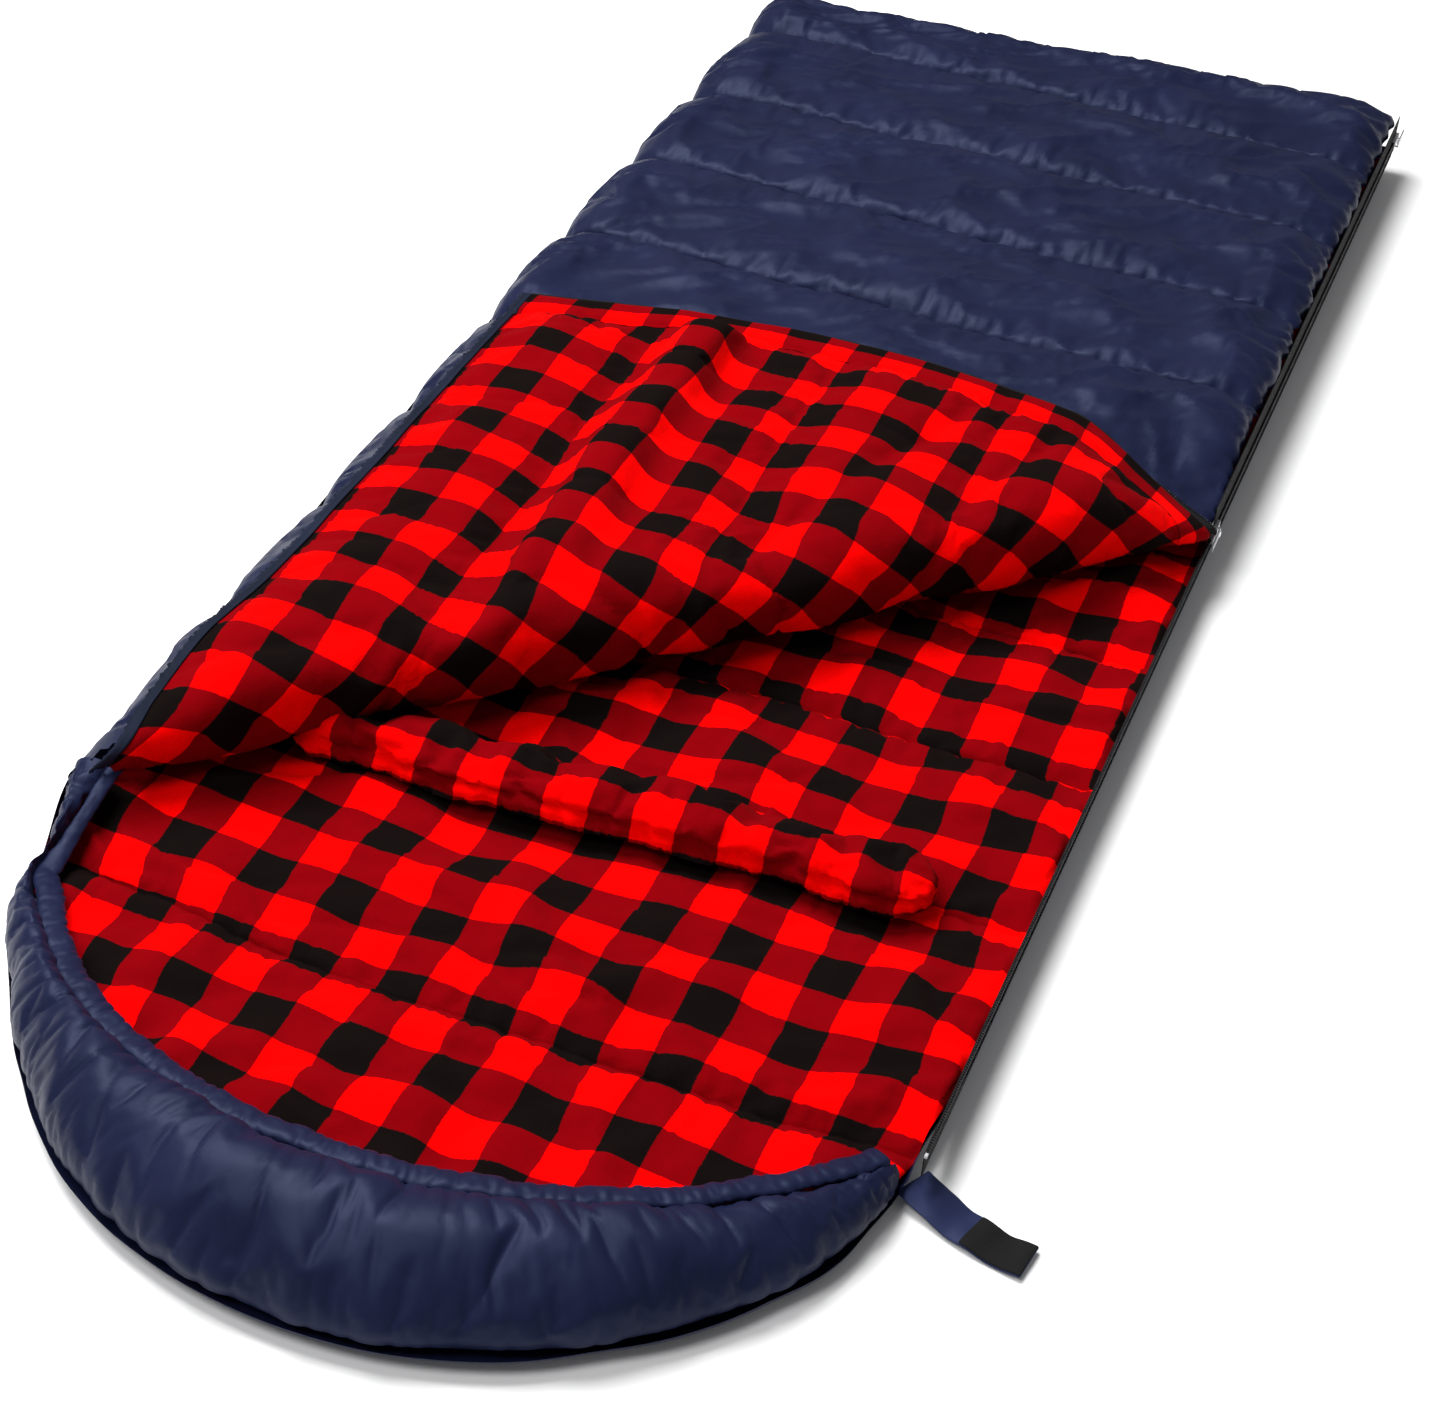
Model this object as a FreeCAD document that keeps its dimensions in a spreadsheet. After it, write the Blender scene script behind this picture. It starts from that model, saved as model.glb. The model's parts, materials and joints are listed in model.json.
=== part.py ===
import FreeCAD, Part
import Sketcher
import math
import os
import re

# A hooded rectangular sleeping bag, lying flat on its back with its upper quilt unzipped and its
# head corner folded over. Millimetres, +Z up, head towards -Y, zip on the +X side. The origin is
# on the underside, at the middle of the bag's whole length and width.

DIMENSIONS = {
    # the quilts
    "quilt_width": 834.0,
    "body_length": 1920.0,
    "hood_length": 310.0,
    "base_thick": 34.0,
    "space_high": 40.0,
    "top_thick": 38.0,
    "side_thick": 34.0,
    "foot_end_short": 4.0,
    "skin": 1.5,
    # the folded-back corner: it starts this far from the neck line, on the side without a zip
    "fold_start": 106.0,
    "fold_air": 1.5,
    "flap_setback": 1.0,
    "facing_wide": 36.0,
    "hem_wide": 12.0,
    "trim_thick": 1.2,
    # the hood's rim, its gathered edge and the cord in it
    "hood_gap": 0.6,
    "rim_start": 4.0,
    "rim_tilt": 10.0,
    "rim_wall": 36.0,
    "rim_lip": 30.0,
    "rim_round": 470.0,
    "rim_centre": 255.0,
    "casing_radius": 6.0,
    "casing_bore": 4.6,
    "casing_half_angle": 52.0,
    "drawcord_radius": 2.0,
    # the padded roll across the neck
    "roll_length": 610.0,
    "roll_wide": 62.0,
    "roll_high": 37.5,
    "roll_place": 285.0,
    "roll_offset": 25.0,
    # the zip, which stands on edge along the +X side
    "tape_gap": 0.5,
    "tape_thick": 1.0,
    "tape_wide": 26.0,
    "zip_level": 54.0,
    "coil_gap": 1.4,
    "coil_thick": 2.4,
    "coil_high": 2.5,
    "flap_zip_short": 42.0,
    "zip_end": 6.0,
    "stop_long": 4.0,
    # the two sliders and their pulls
    "slider_long": 28.0,
    "slider_high": 13.0,
    "slider_plate": 1.4,
    "slider_play": 0.3,
    "slider_post": 1.0,
    "slider_post_long": 6.0,
    "foot_slider_place": 22.0,
    "bail_radius": 0.93,
    "bail_stand": 2.8,
    "pull_eye": 1.0,
    "pull_long": 30.0,
    "pull_wide": 8.6,
    "pull_neck": 6.2,
    "pull_thick": 1.6,
    # the strap over the zip's head end
    "strap_wide": 36.0,
    "strap_long": 108.0,
    "strap_root": 6.0,
    "strap_slant": 40.0,
    "strap_thick": 1.6,
    "strap_place": 10.0,
    "patch_long": 52.0,
    "patch_thick": 1.2,
}

# derived places, as expressions of the cells above
ZERO = "(0 * skin)"
HALF = "(quilt_width / 2)"
NECK = "((hood_length - body_length) / 2)"
FOOT = "((hood_length + body_length) / 2)"
BASE_TOP = "base_thick"
TOP_LOW = "(base_thick + space_high)"
TOP_HIGH = "(base_thick + space_high + top_thick)"
FOLD_AXIS = "(base_thick + space_high + top_thick + fold_air)"
FLAP_LOW = "(base_thick + space_high + top_thick + 2 * fold_air)"
FLAP_HIGH = "(base_thick + space_high + 2 * top_thick + 2 * fold_air)"
FOLD_LEFT = f"({NECK} + fold_start)"
FOLD_RIGHT = f"({NECK} + fold_start + quilt_width)"
TAPE_X = f"({HALF} + tape_gap)"
COIL_X = f"({TAPE_X} + tape_thick)"

doc = FreeCAD.newDocument("sleeping_bag")
sheet = doc.addObject("Spreadsheet::Sheet", "Dims")
for row, (alias, number) in enumerate(DIMENSIONS.items(), start=1):
    sheet.set(f"A{row}", alias)
    sheet.set(f"B{row}", str(number))
    sheet.setAlias(f"B{row}", alias)
doc.recompute()

nodes = []


def cells(text):
    """An expression of aliases, with each alias pointing at the sheet."""
    return re.sub(r"\b([a-z]+(?:_[a-z]+)+|skin)\b", r"Dims.\1", text)


def bind(thing, sizes):
    """Bind each property of a document object to an expression of the cells."""
    for name, text in sizes.items():
        thing.setExpression(name, cells(text))


def node(thing, label):
    """Keep a document object as one sub-part, under the label that names its file."""
    thing.Label = label
    nodes.append(thing)
    return thing


# ---- plain solids, their sizes and places bound to the sheet ----


def box(name, x, y, z):
    """A box between two expressions along each axis."""
    made = doc.addObject("Part::Box", name)
    sizes = {}
    for side, place, (low, high) in zip(("Length", "Width", "Height"), "xyz", (x, y, z)):
        sizes[side] = f"({high}) - ({low})"
        sizes[f"Placement.Base.{place}"] = low
    bind(made, sizes)
    return made


def cylinder(name, radius, height, place, turn=None, sweep=None):
    """A cylinder from an expression radius and height, with its base centre at place."""
    made = doc.addObject("Part::Cylinder", name)
    if turn:
        made.Placement.Rotation = turn
    sizes = {"Radius": radius, "Height": height}
    for axis, text in zip("xyz", place):
        sizes[f"Placement.Base.{axis}"] = text
    if sweep:
        made.Angle = sweep
    bind(made, sizes)
    return made


def cut(name, base, tool):
    made = doc.addObject("Part::Cut", name)
    made.Base = base
    made.Tool = tool
    return made


def common(name, base, tool):
    made = doc.addObject("Part::Common", name)
    made.Base = base
    made.Tool = tool
    return made


def fuse(name, shapes):
    made = doc.addObject("Part::MultiFuse", name)
    made.Shapes = shapes
    made.Refine = True
    return made


# ---- padded outlines ----


def origin_plane(body, role):
    for feature in body.Origin.OriginFeatures:
        if feature.Role == role:
            return feature
    raise RuntimeError(f"{body.Name} has no {role}")


def outline(body, name, corners, level):
    """A closed polygon sketch at a level, with each corner's place bound to the sheet."""
    sketch = body.newObject("Sketcher::SketchObject", name)
    sketch.AttachmentSupport = [(origin_plane(body, "XY_Plane"), "")]
    sketch.MapMode = "FlatFace"
    bind(sketch, {"AttachmentOffset.Base.z": level})
    turn = 2 * math.pi / len(corners)
    start = [FreeCAD.Vector(math.cos(turn * i), math.sin(turn * i), 0) for i in range(len(corners))]
    for i, point in enumerate(start):
        sketch.addGeometry(Part.LineSegment(point, start[(i + 1) % len(start)]), False)
    for i in range(len(corners)):
        following = (i + 1) % len(corners)
        sketch.addConstraint(Sketcher.Constraint("Coincident", i, 2, following, 1))
    for i, place in enumerate(corners):
        for kind, text in zip(("DistanceX", "DistanceY"), place):
            index = sketch.addConstraint(Sketcher.Constraint(kind, -1, 1, i, 1, 1.0))
            sketch.renameConstraint(index, f"{kind}{i}")
            bind(sketch, {f"Constraints.{kind}{i}": text})
    return sketch


def slab(name, corners, low, high):
    """A PartDesign body: one polygon padded from a low level to a high one."""
    body = doc.addObject("PartDesign::Body", name)
    pad = body.newObject("PartDesign::Pad", f"{name}_pad")
    pad.Profile = outline(body, f"{name}_outline", corners, low)
    bind(pad, {"Length": f"({high}) - ({low})"})
    body.Tip = pad
    return body


def tray(name, corners, inner, low, high, floor_low, floor_high):
    """A slab with a pocket in it: open upwards, or downwards where the floor is at the top."""
    body = slab(name, corners, low, high)
    pocket = body.newObject("PartDesign::Pocket", f"{name}_pocket")
    pocket.Profile = outline(body, f"{name}_inside", inner, floor_high)
    pocket.Reversed = False
    bind(pocket, {"Length": f"({floor_high}) - ({floor_low})"})
    body.Tip = pocket
    return body


def rectangle(left, right, near, far):
    return [(left, near), (right, near), (right, far), (left, far)]


def inset_rectangle(inset):
    return rectangle(f"{inset} - {HALF}", f"{HALF} - {inset}", NECK, f"{FOOT} - {inset}")


def top_corners(inset):
    """The upper quilt past the fold, which runs across it at 45 degrees."""
    return [
        (f"{inset} - {HALF}", f"{FOLD_LEFT} + {inset}"),
        (f"{HALF} - {inset}", f"{FOLD_RIGHT} - {inset}"),
        (f"{HALF} - {inset}", f"{FOOT} - {inset}"),
        (f"{inset} - {HALF}", f"{FOOT} - {inset}"),
    ]


def flap_corners(inset):
    """The folded-back corner: a right triangle lying on the upper quilt."""
    slant = f"({inset} + sqrt(2) * flap_setback)"
    return [
        (f"{inset} - {HALF}", f"{FOLD_LEFT} + {inset} + {slant}"),
        (f"{HALF} - {inset} - {slant}", f"{FOLD_RIGHT} - {inset}"),
        (f"{inset} - {HALF}", f"{FOLD_RIGHT} - {inset}"),
    ]


# ---- the lower quilt ----


def lower_quilt():
    """The back of the bag: an outer shell with a fill in it and a flannel lining over it."""
    shell = tray(
        "base_shell", inset_rectangle("0"), inset_rectangle("skin"),
        "0", f"{BASE_TOP} - skin", "skin", f"{BASE_TOP} - skin",
    )
    node(shell, "base_shell")
    node(slab("base_fill", inset_rectangle("skin"), "skin", f"{BASE_TOP} - skin"), "base_fill")
    node(slab("base_lining", inset_rectangle("0"), f"{BASE_TOP} - skin", BASE_TOP), "base_lining")


def left_fold():
    """The side without a zip, where the lower quilt turns up and over into the upper one."""
    layers = (
        ("side_fold_shell", "0", "skin"),
        ("side_fold_fill", "skin", "(side_thick - skin)"),
        ("side_fold_lining", "(side_thick - skin)", "side_thick"),
    )
    for label, outer, inner in layers:
        x = (f"{outer} - {HALF}", f"{inner} - {HALF}")
        node(box(label, x, (FOLD_LEFT, FOOT), (BASE_TOP, TOP_LOW)), label)


def foot_end():
    """The closed foot, between the two quilts."""
    layers = (
        ("foot_end_lining", "side_thick", "(side_thick - skin)"),
        ("foot_end_fill", "(side_thick - skin)", "skin"),
        ("foot_end_shell", "skin", "0"),
    )
    for label, inner, outer in layers:
        x = (f"side_thick - {HALF}", f"{HALF} - foot_end_short")
        y = (f"{FOOT} - {inner}", f"{FOOT} - {outer}")
        node(box(label, x, y, (BASE_TOP, TOP_LOW)), label)


# ---- the upper quilt, its fold and its turned-back corner ----


def upper_quilt():
    lining_high = f"({TOP_LOW} + skin)"
    shell = tray(
        "top_shell", top_corners("0"), top_corners("skin"),
        lining_high, TOP_HIGH, lining_high, f"({TOP_HIGH} - skin)",
    )
    node(shell, "top_shell")
    node(slab("top_fill", top_corners("skin"), lining_high, f"({TOP_HIGH} - skin)"), "top_fill")
    node(slab("top_lining", top_corners("0"), TOP_LOW, lining_high), "top_lining")


def flap():
    """The turned-back corner, its lining uppermost, with its sewn-down zip facing and hem."""
    shell_high = f"({FLAP_HIGH} - skin)"
    shell = tray(
        "flap_shell", flap_corners("0"), flap_corners("skin"),
        FLAP_LOW, shell_high, f"({FLAP_LOW} + skin)", shell_high,
    )
    node(shell, "flap_shell")
    fill = slab("flap_fill", flap_corners("skin"), f"({FLAP_LOW} + skin)", shell_high)
    node(fill, "flap_fill")
    node(slab("flap_lining", flap_corners("0"), shell_high, FLAP_HIGH), "flap_lining")

    trim = (FLAP_HIGH, f"{FLAP_HIGH} + trim_thick")
    facing_x = (f"hem_wide - {HALF}", f"{HALF} - 2 * facing_wide")
    facing_y = (f"{FOLD_RIGHT} - facing_wide", FOLD_RIGHT)
    node(box("flap_zip_facing", facing_x, facing_y, trim), "flap_zip_facing")
    hem_x = (f"0 - {HALF}", f"hem_wide - {HALF}")
    hem_y = (f"{FOLD_LEFT} + 2 * facing_wide", FOLD_RIGHT)
    node(box("flap_head_hem", hem_x, hem_y, trim), "flap_head_hem")


def fold_roll():
    """Half-round layers that carry the quilt round the fold, from the upper quilt to the flap."""
    along = FreeCAD.Rotation(
        FreeCAD.Vector(0, 0, 1), FreeCAD.Vector(1, -1, 0), FreeCAD.Vector(1, 1, 0), "ZXY"
    )
    outer = "(top_thick + fold_air)"
    radii = ("fold_air", "(fold_air + skin)", f"({outer} - skin)", outer)
    length = f"(quilt_width * sqrt(2) - 2 * {outer})"
    start = (f"{outer} / sqrt(2) - {HALF}", f"{FOLD_LEFT} + {outer} / sqrt(2)", FOLD_AXIS)
    for label, low, high in zip(("fold_shell", "fold_fill", "fold_lining"), radii, radii[1:]):
        wide = cylinder(f"{label}_outer", high, length, start, along, 180)
        bore = cylinder(f"{label}_bore", low, length, start, along, 180)
        node(cut(label, wide, bore), label)


# ---- the hood ----


def half_round(name, inset, low, high):
    """Half of an elliptic slab: the hood's outline, drawn in by an inset."""
    ring = doc.addObject("Part::Ellipse", f"{name}_outline")
    sizes = {"MajorRadius": f"{HALF} - {inset}", "MinorRadius": f"hood_length - {inset}"}
    sizes |= {"Placement.Base.y": NECK, "Placement.Base.z": low}
    bind(ring, sizes)
    prism = doc.addObject("Part::Extrusion", f"{name}_prism")
    prism.Base = ring
    prism.DirMode = "Custom"
    prism.Dir = FreeCAD.Vector(0, 0, 1)
    prism.Solid = True
    bind(prism, {"LengthFwd": f"({high}) - ({low})"})
    across = (f"0 - {HALF}", HALF)
    along = (f"{NECK} - hood_length", f"{NECK} - hood_gap")
    half = box(f"{name}_half", across, along, (low, high))
    return common(name, prism, half)


def hood_pad():
    """The flat of the hood, which carries the lower quilt on under the head."""
    inside_high = f"({BASE_TOP} - skin)"
    whole = half_round("hood_pad_whole", "0", "0", inside_high)
    inside = half_round("hood_pad_inside", "skin", "skin", inside_high)
    node(cut("hood_pad_shell", whole, inside), "hood_pad_shell")
    node(half_round("hood_pad_fill", "skin", "skin", inside_high), "hood_pad_fill")
    node(half_round("hood_pad_lining", "0", inside_high, BASE_TOP), "hood_pad_lining")


def tilt():
    return FreeCAD.Rotation(FreeCAD.Vector(1, 0, 0), -DIMENSIONS["rim_tilt"])


def rim_block(name, inset, drop):
    """The hood's rim as a solid: inside an inset outline, and under a slope lowered by drop."""
    high = "(base_thick + rim_start + hood_length * tan(rim_tilt))"
    whole = half_round(f"{name}_whole", inset, BASE_TOP, high)

    above = doc.addObject("Part::Box", f"{name}_above")
    above.Placement.Rotation = tilt()
    span = "(2 * quilt_width)"
    sizes = {"Length": span, "Width": span, "Height": "hood_length"}
    sizes["Placement.Base.x"] = "0 - quilt_width"
    sizes["Placement.Base.y"] = f"{NECK} - quilt_width * cos(rim_tilt) - {drop} * sin(rim_tilt)"
    level = "base_thick + rim_start + quilt_width * sin(rim_tilt)"
    sizes["Placement.Base.z"] = f"{level} - {drop} * cos(rim_tilt)"
    bind(above, sizes)
    below = cut(f"{name}_below", whole, above)

    low = "(0 - 2 * base_thick)"
    place = (
        ZERO,
        f"{NECK} + rim_centre * cos(rim_tilt) + {low} * sin(rim_tilt)",
        f"base_thick + rim_start - rim_centre * sin(rim_tilt) + {low} * cos(rim_tilt)",
    )
    opening = cylinder(f"{name}_opening", "rim_round", "4 * base_thick", place, tilt())
    return cut(name, below, opening)


def hood_rim():
    """The padded panel sewn round the hood's edge, which turns in over the head."""
    edges = (
        ("0", "0"),
        ("skin", "skin"),
        ("(rim_wall - skin)", "(rim_lip - skin)"),
        ("rim_wall", "rim_lip"),
    )
    for label, outer, inner in zip(("rim_shell", "rim_fill", "rim_lining"), edges, edges[1:]):
        solid = rim_block(f"{label}_solid", *outer)
        hollow = rim_block(f"{label}_hollow", *inner)
        node(cut(label, solid, hollow), label)


def ring_part(name, ring_radius, tube_radius):
    """Part of a ring round the rim's inner edge, in the rim's own slope."""
    ring = doc.addObject("Part::Torus", name)
    around = FreeCAD.Rotation(FreeCAD.Vector(0, 0, 1), -90 - DIMENSIONS["casing_half_angle"])
    ring.Placement.Rotation = tilt() * around
    depth = "(0 - casing_radius / 2)"
    sizes = {"Radius1": ring_radius, "Radius2": tube_radius, "Angle3": "2 * casing_half_angle"}
    sizes["Placement.Base.y"] = f"{NECK} + rim_centre * cos(rim_tilt) + {depth} * sin(rim_tilt)"
    level = "base_thick + rim_start - rim_centre * sin(rim_tilt)"
    sizes["Placement.Base.z"] = f"{level} + {depth} * cos(rim_tilt)"
    bind(ring, sizes)
    return ring


def hood_casing():
    """The gathered tunnel along the rim's inner edge, with the cord that draws it in."""
    middle = "(rim_round - casing_radius - hood_gap)"
    sleeve = ring_part("casing_outer", middle, "casing_radius")
    bore = ring_part("casing_bore_ring", middle, "casing_bore")
    node(cut("hood_casing", sleeve, bore), "hood_casing")
    node(ring_part("hood_drawcord", middle, "drawcord_radius"), "hood_drawcord")


# ---- the padded roll across the neck ----


def round_bar(name, inset):
    """A bar with half-round ends, drawn in by an inset all over."""
    body = doc.addObject("PartDesign::Body", name)
    sketch = body.newObject("Sketcher::SketchObject", f"{name}_outline")
    sketch.AttachmentSupport = [(origin_plane(body, "XY_Plane"), "")]
    sketch.MapMode = "FlatFace"
    bind(sketch, {"AttachmentOffset.Base.z": f"{BASE_TOP} + {inset}"})
    place = {"x": "roll_offset", "y": f"{NECK} + roll_place"}
    bind(sketch, {f"AttachmentOffset.Base.{axis}": text for axis, text in place.items()})

    near = Part.LineSegment(FreeCAD.Vector(-200, -30, 0), FreeCAD.Vector(200, -30, 0))
    far = Part.LineSegment(FreeCAD.Vector(200, 30, 0), FreeCAD.Vector(-200, 30, 0))
    quarter = math.pi / 2
    right = Part.ArcOfCircle(
        Part.Circle(FreeCAD.Vector(200, 0, 0), FreeCAD.Vector(0, 0, 1), 30), -quarter, quarter
    )
    left = Part.ArcOfCircle(
        Part.Circle(FreeCAD.Vector(-200, 0, 0), FreeCAD.Vector(0, 0, 1), 30), quarter, 3 * quarter
    )
    for piece in (near, right, far, left):
        sketch.addGeometry(piece, False)
    for first, second in ((0, 1), (1, 2), (2, 3), (3, 0)):
        sketch.addConstraint(Sketcher.Constraint("Tangent", first, 2, second, 1))
    sketch.addConstraint(Sketcher.Constraint("Horizontal", 0))
    sketch.addConstraint(Sketcher.Constraint("Symmetric", 1, 3, 3, 3, -1, 1))
    radius = sketch.addConstraint(Sketcher.Constraint("Radius", 1, 30))
    sketch.renameConstraint(radius, "end_radius")
    span = sketch.addConstraint(Sketcher.Constraint("DistanceX", 3, 3, 1, 3, 400))
    sketch.renameConstraint(span, "span")
    bind(sketch, {"Constraints.end_radius": f"roll_wide / 2 - {inset}"})
    bind(sketch, {"Constraints.span": "roll_length - roll_wide"})

    pad = body.newObject("PartDesign::Pad", f"{name}_pad")
    pad.Profile = sketch
    bind(pad, {"Length": f"roll_high - 2 * {inset}"})
    body.Tip = pad
    return body


def neck_roll():
    """A flannel cover round a fill, lying across the lining at the neck."""
    outside = round_bar("neck_roll_outside", "0")
    inside = round_bar("neck_roll_inside", "skin")
    node(cut("neck_roll_cover", outside, inside), "neck_roll_cover")
    node(round_bar("neck_roll_fill", "skin"), "neck_roll_fill")


# ---- the zip ----


def zip_half(which, y, low, high, coil_low):
    """A tape on edge along the zip side, and the half of the coil sewn to its outer face."""
    coil = f"{coil_low} + coil_high"
    tape_x = (TAPE_X, COIL_X)
    coil_x = (COIL_X, f"{COIL_X} + coil_thick")
    node(box(f"zip_tape_{which}", tape_x, y, (low, high)), f"zip_tape_{which}")
    node(box(f"zip_coil_{which}", coil_x, y, (coil_low, coil)), f"zip_coil_{which}")


def zip_fastener():
    """The two standing halves, the half that went with the flap, and the three stops."""
    lower_edge = "(zip_level - coil_gap / 2 - coil_high / 2)"
    upper_edge = "(zip_level + coil_gap / 2 + coil_high / 2)"
    whole = (f"{NECK} + zip_end", f"{FOOT} - zip_end")
    closed = (FOLD_RIGHT, f"{FOOT} - zip_end")
    coil_below = "(zip_level - coil_gap / 2 - coil_high)"
    coil_above = "(zip_level + coil_gap / 2)"
    zip_half("lower", whole, f"{lower_edge} - tape_wide", lower_edge, coil_below)
    zip_half("upper", closed, upper_edge, f"{upper_edge} + tape_wide", coil_above)

    # the flap's half stands along its far edge, mirrored in the plane through the fold's axis
    mirror = f"2 * {FOLD_AXIS}"
    flap_x = (f"hem_wide - {HALF}", f"{HALF} - flap_zip_short")
    tape_y = (f"{FOLD_RIGHT} + tape_gap", f"{FOLD_RIGHT} + tape_gap + tape_thick")
    coil_y = (tape_y[1], f"{tape_y[1]} + coil_thick")
    tape_z = (f"{mirror} - {upper_edge} - tape_wide", f"{mirror} - {upper_edge}")
    coil_z = (f"{mirror} - {coil_above} - coil_high", f"{mirror} - {coil_above}")
    node(box("zip_tape_flap", flap_x, tape_y, tape_z), "zip_tape_flap")
    node(box("zip_coil_flap", flap_x, coil_y, coil_z), "zip_coil_flap")

    stop_x = (COIL_X, f"{COIL_X} + coil_thick")
    head_y = (f"{NECK} + zip_end - stop_long", f"{NECK} + zip_end")
    foot_y = (f"{FOOT} - zip_end", f"{FOOT} - zip_end + stop_long")
    node(box("zip_head_stop", stop_x, head_y, (coil_below, f"{coil_below} + coil_high")),
         "zip_head_stop")
    node(box("zip_foot_stop", stop_x, foot_y, (coil_below, f"{coil_above} + coil_high")),
         "zip_foot_stop")
    flap_stop_x = (f"hem_wide - {HALF} - stop_long", f"hem_wide - {HALF}")
    node(box("zip_flap_stop", flap_stop_x, coil_y, coil_z), "zip_flap_stop")


def slider(which, place, open_side):
    """A slider round both coils, its open side towards the part of the zip that is undone."""
    low, high = "(zip_level - slider_high / 2)", "(zip_level + slider_high / 2)"
    near, far = f"{place} - slider_long / 2", f"{place} + slider_long / 2"
    inner_x = f"({TAPE_X} - slider_play)"
    outer_x = f"({COIL_X} + coil_thick + slider_play)"
    plate_x = f"({outer_x} + slider_plate)"
    inner = box(f"slider_{which}_inner", (f"{inner_x} - slider_plate", inner_x), (near, far),
                (low, high))
    outer = box(f"slider_{which}_outer", (outer_x, plate_x), (near, far), (low, high))
    lip_x = (f"{COIL_X} + slider_play", outer_x)
    rims = [
        box(f"slider_{which}_rim_low", lip_x, (near, far), (low, f"{low} + slider_plate")),
        box(f"slider_{which}_rim_high", lip_x, (near, far), (f"{high} - slider_plate", high)),
    ]
    edge = f"{place} + {open_side} * (slider_long - slider_post_long) / 2"
    post = box(
        f"slider_{which}_post", (inner_x, outer_x),
        (f"{edge} - slider_post_long / 2", f"{edge} + slider_post_long / 2"),
        ("zip_level - slider_post / 2", "zip_level + slider_post / 2"),
    )
    bail_x = f"({plate_x} + bail_stand)"
    stand_low = "(zip_level - slider_high / 2 + slider_plate)"
    stand_high = "(zip_level + slider_high / 2 - slider_plate)"
    cheek_x = (plate_x, f"{bail_x} + bail_radius")
    cheek_y = (f"{place} - bail_radius", f"{place} + bail_radius")
    cheeks = [
        box(f"slider_{which}_cheek_low", cheek_x, cheek_y, (low, stand_low)),
        box(f"slider_{which}_cheek_high", cheek_x, cheek_y, (stand_high, high)),
    ]
    bar = cylinder(f"slider_{which}_bar", "bail_radius", f"{stand_high} - {stand_low}",
                   (bail_x, place, stand_low))
    parts = [inner, outer, post, bar] + rims + cheeks
    node(fuse(f"zip_slider_{which}", parts), f"zip_slider_{which}")
    return bail_x


def pull(which, place, bail_x, way):
    """A tab on the slider's bar, pointing along the zip, way = 1 towards the foot."""
    eye_outer = "(pull_eye + pull_thick / 2)"
    neck_low, neck_high = "(zip_level - pull_neck / 2)", "(zip_level + pull_neck / 2)"
    barrel = cylinder(f"pull_{which}_barrel", eye_outer, "pull_neck", (bail_x, place, neck_low))
    blade_x = (f"{bail_x} - pull_thick / 2", f"{bail_x} + pull_thick / 2")
    neck_end = "(2 * pull_eye + bail_stand)"
    lengths = (("neck", ZERO, neck_end, neck_low, neck_high),
               ("blade", neck_end, "pull_long", "zip_level - pull_wide / 2",
                "zip_level + pull_wide / 2"))
    blades = []
    for name, start, end, low, high in lengths:
        y = (f"{place} + {start}", f"{place} + {end}")
        if way < 0:
            y = (f"{place} - {end}", f"{place} - {start}")
        blades.append(box(f"pull_{which}_{name}", blade_x, y, (low, high)))
    solid = fuse(f"pull_{which}_solid", [barrel] + blades)
    hole = cylinder(f"pull_{which}_hole", "pull_eye", "pull_neck", (bail_x, place, neck_low))
    node(cut(f"zip_pull_{which}", solid, hole), f"zip_pull_{which}")


def sliders():
    """One slider where the zip is undone down to, and one at the foot."""
    places = (
        ("main", FOLD_RIGHT, -1),
        ("foot", f"({FOOT} - foot_slider_place)", 1),
    )
    for which, place, way in places:
        bail_x = slider(which, place, way)
        pull(which, place, bail_x, way)


# ---- the strap that keeps the zip shut, and its patches ----


def strap_corners(start, end):
    """A length of the strap, which leaves the bag at a slant towards the head."""
    root = f"({TAPE_X} + coil_thick + strap_root)"
    slope = "(strap_slant / strap_long)"
    sides = ("(0 - strap_wide / 2)", "(strap_wide / 2)")
    corners = []
    for along, side in ((start, sides[0]), (end, sides[0]), (end, sides[1]), (start, sides[1])):
        y = f"{NECK} + strap_place + {side} - {along} * {slope}"
        corners.append((f"{root} + {along}", y))
    return corners


def strap():
    """A short webbing strap sewn under the bag's head corner, hinging up where it leaves it."""
    root_x = (HALF, f"{TAPE_X} + coil_thick + strap_root - tape_gap")
    root_y = (f"{NECK} + strap_place - strap_wide / 2", f"{NECK} + strap_place + strap_wide / 2")
    node(box("strap_root", root_x, root_y, (ZERO, "strap_thick")), "strap_root")
    node(slab("strap", strap_corners("0", "strap_long"), ZERO, "strap_thick"), "strap")
    hook = strap_corners("(strap_long - patch_long)", "strap_long")
    node(slab("hook_patch", hook, "strap_thick", "strap_thick + patch_thick"), "hook_patch")

    # the patch that it grips is on the flap's shell, which faces down while the corner is back
    loop_x = (f"hem_wide - {HALF}", f"hem_wide - {HALF} + patch_long")
    loop_y = (f"{FOLD_RIGHT} - facing_wide - hem_wide", f"{FOLD_RIGHT} - hem_wide")
    loop_z = (f"{FLAP_LOW} - patch_thick", FLAP_LOW)
    node(box("loop_patch", loop_x, loop_y, loop_z), "loop_patch")


def check():
    """Stop if any object failed, or any sub-part isn't a whole, valid shape."""
    for thing in doc.Objects:
        if "Invalid" in thing.State or "Error" in thing.State:
            raise RuntimeError(f"{thing.Label} failed: {thing.State}")
    for thing in nodes:
        if thing.Shape.isNull() or not thing.Shape.isValid() or not thing.Shape.Solids:
            raise RuntimeError(f"{thing.Label} has no valid solid")


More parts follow.
